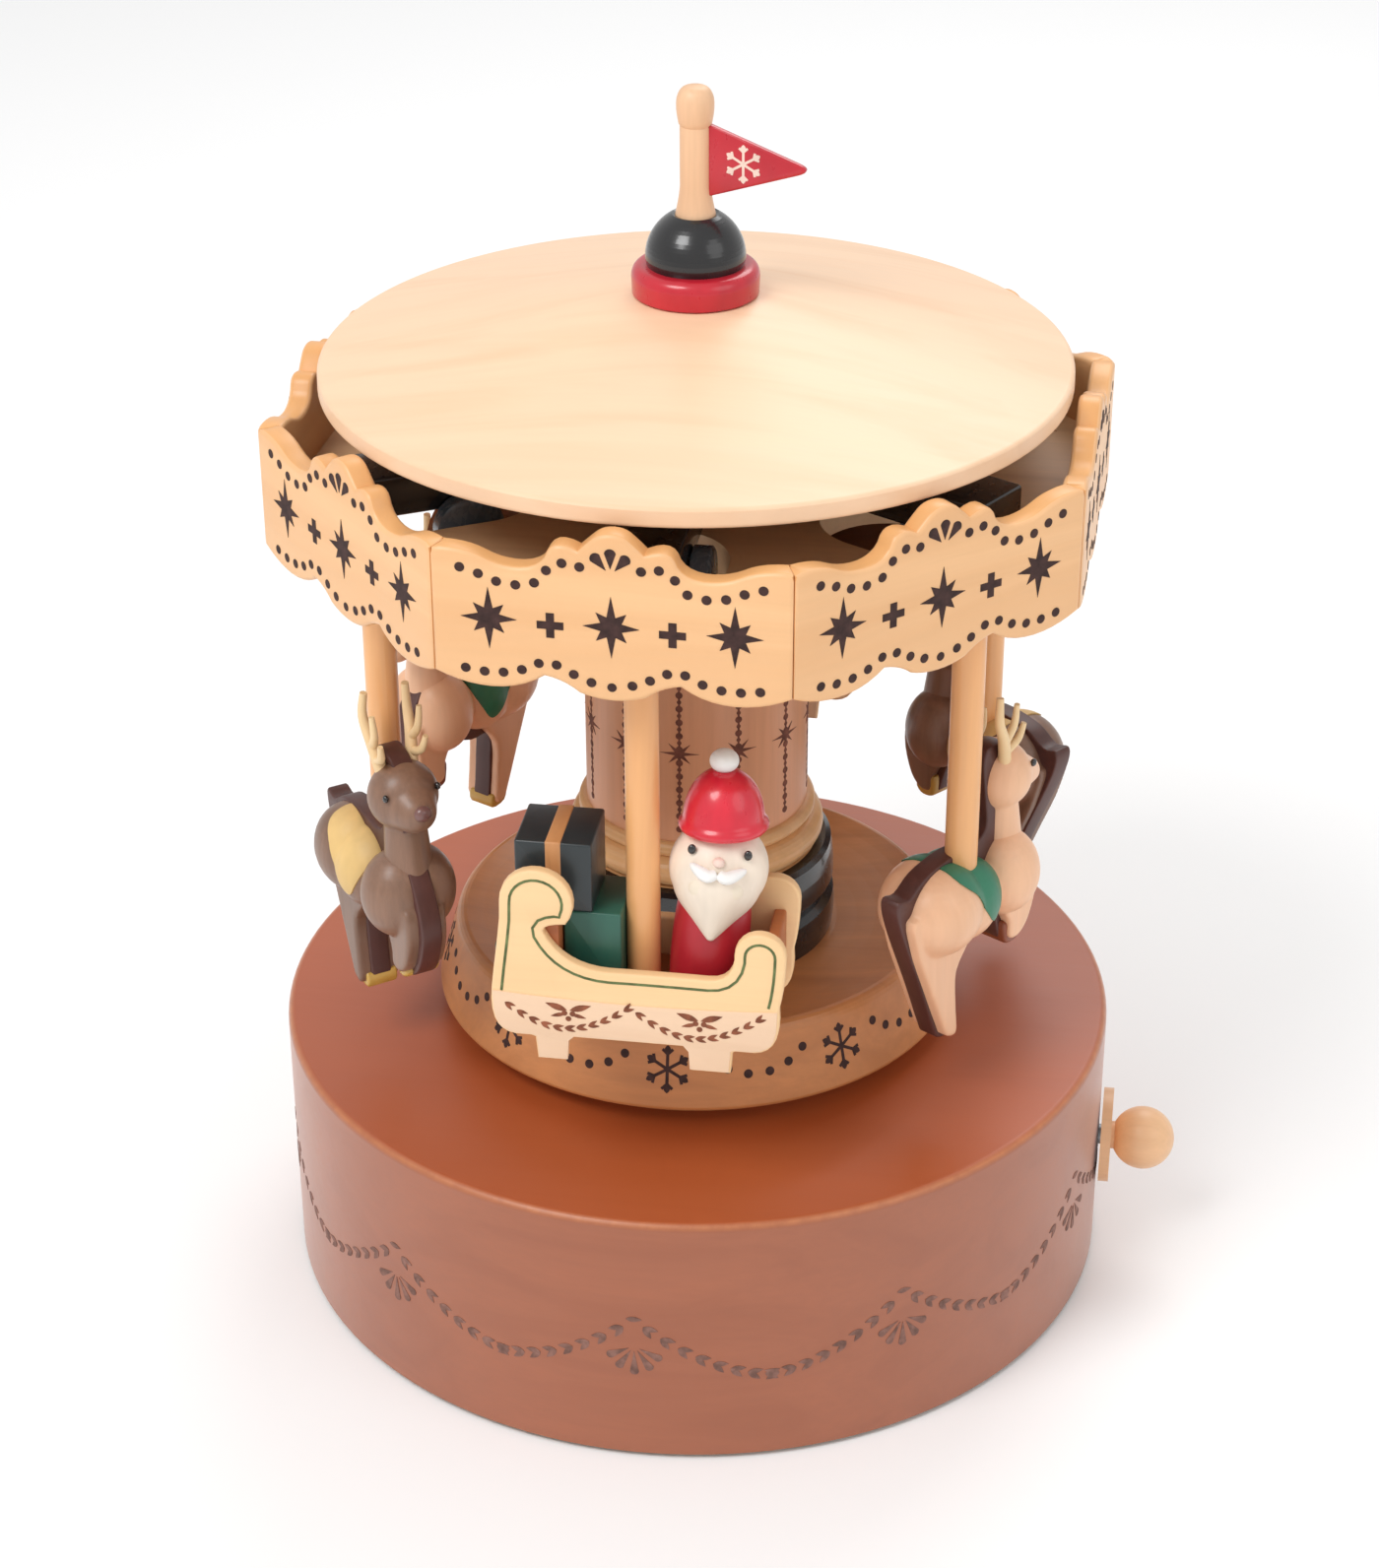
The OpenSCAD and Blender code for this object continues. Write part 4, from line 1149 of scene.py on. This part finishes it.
def capsule(a, b, ra, rb, n=8):
    """Round-ended limb from a to b, with a radius at each end."""
    a, b = Vector(a), Vector(b)
    axis = (b - a).normalized()
    lean = math.asin(max(-1, min(1, (ra - rb) / (b - a).length)))
    points, radii = [], []
    for i in range(n + 1):
        t = -math.pi / 2 + (math.pi / 2 + lean) * i / n
        points.append(a + axis * ra * math.sin(t))
        radii.append(max(ra * math.cos(t), 0.04))
    for i in range(n + 1):
        t = lean + (math.pi / 2 - lean) * i / n
        points.append(b + axis * rb * math.sin(t))
        radii.append(max(rb * math.cos(t), 0.04))
    return tube(points, radii, 28)


def deer_half(side):
    """One rounded half of the body, on the side -1 outwards or 1 inwards."""
    y = PLATE_IN + side * PLATE_T / 2
    leg_t = 3.6 if side < 0 else 2.8
    parts = [
        ball((-5.0, y, 77.0), (7.3, 6.0, 7.0)),
        ball((0.6, y, 76.4), (6.0, 5.2, 6.4)),
        ball((10.4, y, 76.9), (5.6, 5.6, 6.9)),
    ]
    for leg in DEER_LEGS:
        parts.append(plate(smooth(leg, 4), leg_t, 0.5, 3, middle=y))
    return join_parts(parts)


def deer_head(dark):
    """Rounded head with a muzzle and a short neck, whole across the plate."""
    y = PLATE_IN
    muzzle = ((10.8, y, 92.6), (17.7, y, 90.2), 4.4, 2.0)
    if dark:
        muzzle = ((11, y, 92.4), (14.2, y, 91.9), 4.6, 3.2)
    return join_parts(
        [
            ball((10.2, y, 92.8), (4.9, 5.3, 5.3), 40, 24),
            capsule(*muzzle, 12),
            capsule((11.2, y, 80), (10.3, y, 90), 3.7, 3.0),
        ]
    )


def cut_flat(piece, y, side):
    """Cuts the mesh at a plane of constant Y and closes it, keeping the given side."""
    bm = bmesh.new()
    bm.from_mesh(piece.data)
    result = bmesh.ops.bisect_plane(
        bm, geom=bm.verts[:] + bm.edges[:] + bm.faces[:],
        plane_co=(0, y * MM, 0), plane_no=(0, side, 0), clear_inner=True
    )
    edges = [g for g in result["geom_cut"] if isinstance(g, bmesh.types.BMEdge)]
    bmesh.ops.holes_fill(bm, edges=edges, sides=0)
    bm.to_mesh(piece.data)
    bm.free()


def boolean(piece, tool, operation):
    modifier = piece.modifiers.new("cut", "BOOLEAN")
    modifier.operation = operation
    modifier.object = tool
    modifier.solver = "EXACT"
    depsgraph = bpy.context.evaluated_depsgraph_get()
    baked = bpy.data.meshes.new_from_object(piece.evaluated_get(depsgraph))
    piece.modifiers.clear()
    piece.data = baked
    bpy.data.objects.remove(tool)


SADDLE = [
    (-3.8, 86.5), (2.6, 86.5), (4.8, 82.6), (5.2, 78.6), (3.2, 74.2),
    (1.6, 74.0), (-0.6, 76.8), (-2.6, 80.2), (-5.4, 83.4),
]


def saddle(half, name, side, material, body, spot):
    """Thin blanket: the half's own skin, grown a little and trimmed to the saddle's outline."""
    cloth = bpy.data.objects.new(name, half.data.copy())
    bpy.context.scene.collection.objects.link(cloth)
    bm = bmesh.new()
    bm.from_mesh(cloth.data)
    for vert in bm.verts:
        vert.co += vert.normal * 0.22 * MM
    bm.to_mesh(cloth.data)
    bm.free()
    reach = 9.0
    middle = PLATE_IN + side * (PLATE_T / 2 + reach / 2)
    verts, faces = plate(smooth(SADDLE, 5), reach, 0.1, 1, middle=middle)
    mesh = bpy.data.meshes.new("trim")
    mesh.from_pydata([Vector(v) * MM for v in verts], [], faces)
    tool = bpy.data.objects.new("trim", mesh)
    bpy.context.scene.collection.objects.link(tool)
    tidy(mesh)
    boolean(cloth, tool, "INTERSECT")
    dress(cloth, M[material], body, spot, 50)


def antlers(name, body, spot):
    parts = []
    for side in (-1, 1):
        y = PLATE_IN + side * 2.3
        out = side * 0.8
        stem = [(8.6, y, 96), (7.0, y + out, 100.5), (5.2, y + out * 1.5, 104.2), (5.4, y + out * 1.2, 108)]
        beam = smooth(stem, 5, closed=False)
        parts.append(tube(beam, [1.05 - 0.5 * k / (len(beam) - 1) for k in range(len(beam))], 12))
        tines = (
            ((7.2, y + out, 100.2), (9.0, y + out * 1.8, 105.8)),
            ((8.0, y + out * 0.6, 98.2), (11.2, y + out * 1.6, 101.9)),
        )
        for foot, tip in tines:
            mid = tuple((a + b) / 2 + c for a, b, c in zip(foot, tip, (0.8, 0, -0.6)))
            twig = smooth([foot, mid, tip], 5, closed=False)
            parts.append(tube(twig, [0.8 - 0.38 * k / (len(twig) - 1) for k in range(len(twig))], 10))
    piece = new_piece(name, *join_parts(parts), M["antler"], body, spot)


def reindeer(number, i, dark):
    body = f"carriage_{i}"
    outward, lift, turn = DEER_PLACE[number]
    spot = carriage_spot(i) @ Matrix.Rotation(math.radians(turn), 4, "Z")
    spot = spot @ Matrix.Translation(Vector((0, -outward, lift)) * MM)
    name = f"reindeer_{number}"
    outline = smooth(DEER_PLATE, 4)
    middle = plate(outline, PLATE_T, 0.35, 3, middle=PLATE_IN)
    core = new_piece(f"{name}_middle", *middle, M["walnut"], body, spot)
    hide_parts(f"{name}_plate")
    skin = M["dark_deer" if dark else "light_deer"]
    cloth = "gold_cloth" if dark else "green"
    for side, word in ((-1, "outer"), (1, "inner")):
        half = new_piece(f"{name}_half_{word}", *deer_half(side), skin, body, None)
        half.parent = None
        remesh(half, 0.3, 3)
        cut_flat(half, PLATE_IN + side * PLATE_T / 2, side)
        saddle(half, f"{name}_saddle_{word}", side, cloth, body, spot)
        half.matrix_world = spot
        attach(half, body)
        shade(half.data, 50)
        if side == -1:
            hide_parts(f"{name}_body")
        eye = ball((13.4, PLATE_IN + side * 4.1, 94.6), (0.55, 0.45, 0.6), 16, 10)
        new_piece(f"{name}_eye_{word}", *eye, M["ink"], body, spot)
    head = new_piece(f"{name}_head", *deer_head(dark), skin, body, spot)
    remesh(head, 0.3, 4)
    front = [(10.2, 68), (10.3, 65.2), (11, 64.1), (13.2, 63.9), (14.4, 65.4), (12.6, 67.2)]
    hoof = plate(smooth(front, 4), 5.6, 0.6, 3, middle=PLATE_IN)
    new_piece(f"{name}_hoof", *hoof, M["gold" if dark else "hoof"], body, spot)
    if dark or number == 3:
        rear = [(-4.9, 56.4), (-4.3, 54.2), (-1.4, 54), (-1.4, 56.2)]
        hind = plate(smooth(rear, 3), 5.0, 0.4, 3, middle=PLATE_IN)
        new_piece(f"{name}_hind_hoof", *hind, M["gold"], body, spot)
    if dark:
        tip = ball((17.0, PLATE_IN, 92.8), (1.0, 1.35, 1.2), 24, 14)
        new_piece(f"{name}_nose", *tip, M["nose"], body, spot)
    antlers(f"{name}_antlers", body, spot)


# ---- CAD nodes that keep their shape -------------------------------------

PLAIN_NODES = {
    "drum": "drum", "base_cover": "board", "felt_pad": "felt", "cover_screws": "steel",
    "plinth": "plinth", "pedestal_ring": "black", "column_collar": "collar", "column": "column",
    "cam_ring": "brown", "shaft_bush": "brass", "movement_bedplate": "brass", "comb": "steel",
    "movement_screws": "steel", "governor_housing": "brass", "spring_barrel": "brass",
    "pin_cylinder": "brass", "governor_fan": "steel", "wind_disc": "knob", "wind_ball": "knob",
    "wind_shaft": "steel", "drive_shaft": "steel", "drive_gear": "brass", "canopy_hub": "brown",
    "ceiling_board": "board", "canopy_roof": "roof", "finial_dome": "black",
    "pole_1": "pole", "pole_2": "pole", "pole_3": "pole", "pole_4": "pole",
    "pole_5": "pole", "pole_6": "pole",
}


def dress_cad_nodes():
    for node, material in PLAIN_NODES.items():
        mesh = NODES[node].data
        mesh.materials.clear()
        mesh.materials.append(M[material])
        for polygon in mesh.polygons:
            polygon.use_smooth = True


# ---- The whole carousel --------------------------------------------------

make_materials()
add_camera()
add_studio()
add_floor()
dress_cad_nodes()
garland()
plinth_marks()
column_marks()
fascia()
finial()
flag()
for number in range(1, 7):
    arm(number)
sleigh(1, "sleigh_1")
sleigh(4, "sleigh_2")
gift(
    "parcel_green", "gift_green", (-10.6, -4.5, SLEIGH_FLOOR), (8.2, 10.8, 12.9),
    "gift_green", 1, (),
)
gift("parcel_black", "gift_black", (-17.35, -4.5, SLEIGH_FLOOR + 12.9), (10.9, 10.8, 10.8), "gift_black", 1)
gift(
    "parcel_red", "rear_gifts", (-16.6, -5, SLEIGH_FLOOR + 12.9), (9.4, 10, 8.6),
    "gift_red", 4, (0,),
)
gift("parcel_blue", None, (4.5, -5.5, SLEIGH_FLOOR), (9, 11, 11), "gift_green", 4, (0,))
figure()
reindeer(1, 2, dark=False)
reindeer(2, 3, dark=True)
reindeer(3, 5, dark=False)
reindeer(4, 6, dark=True)
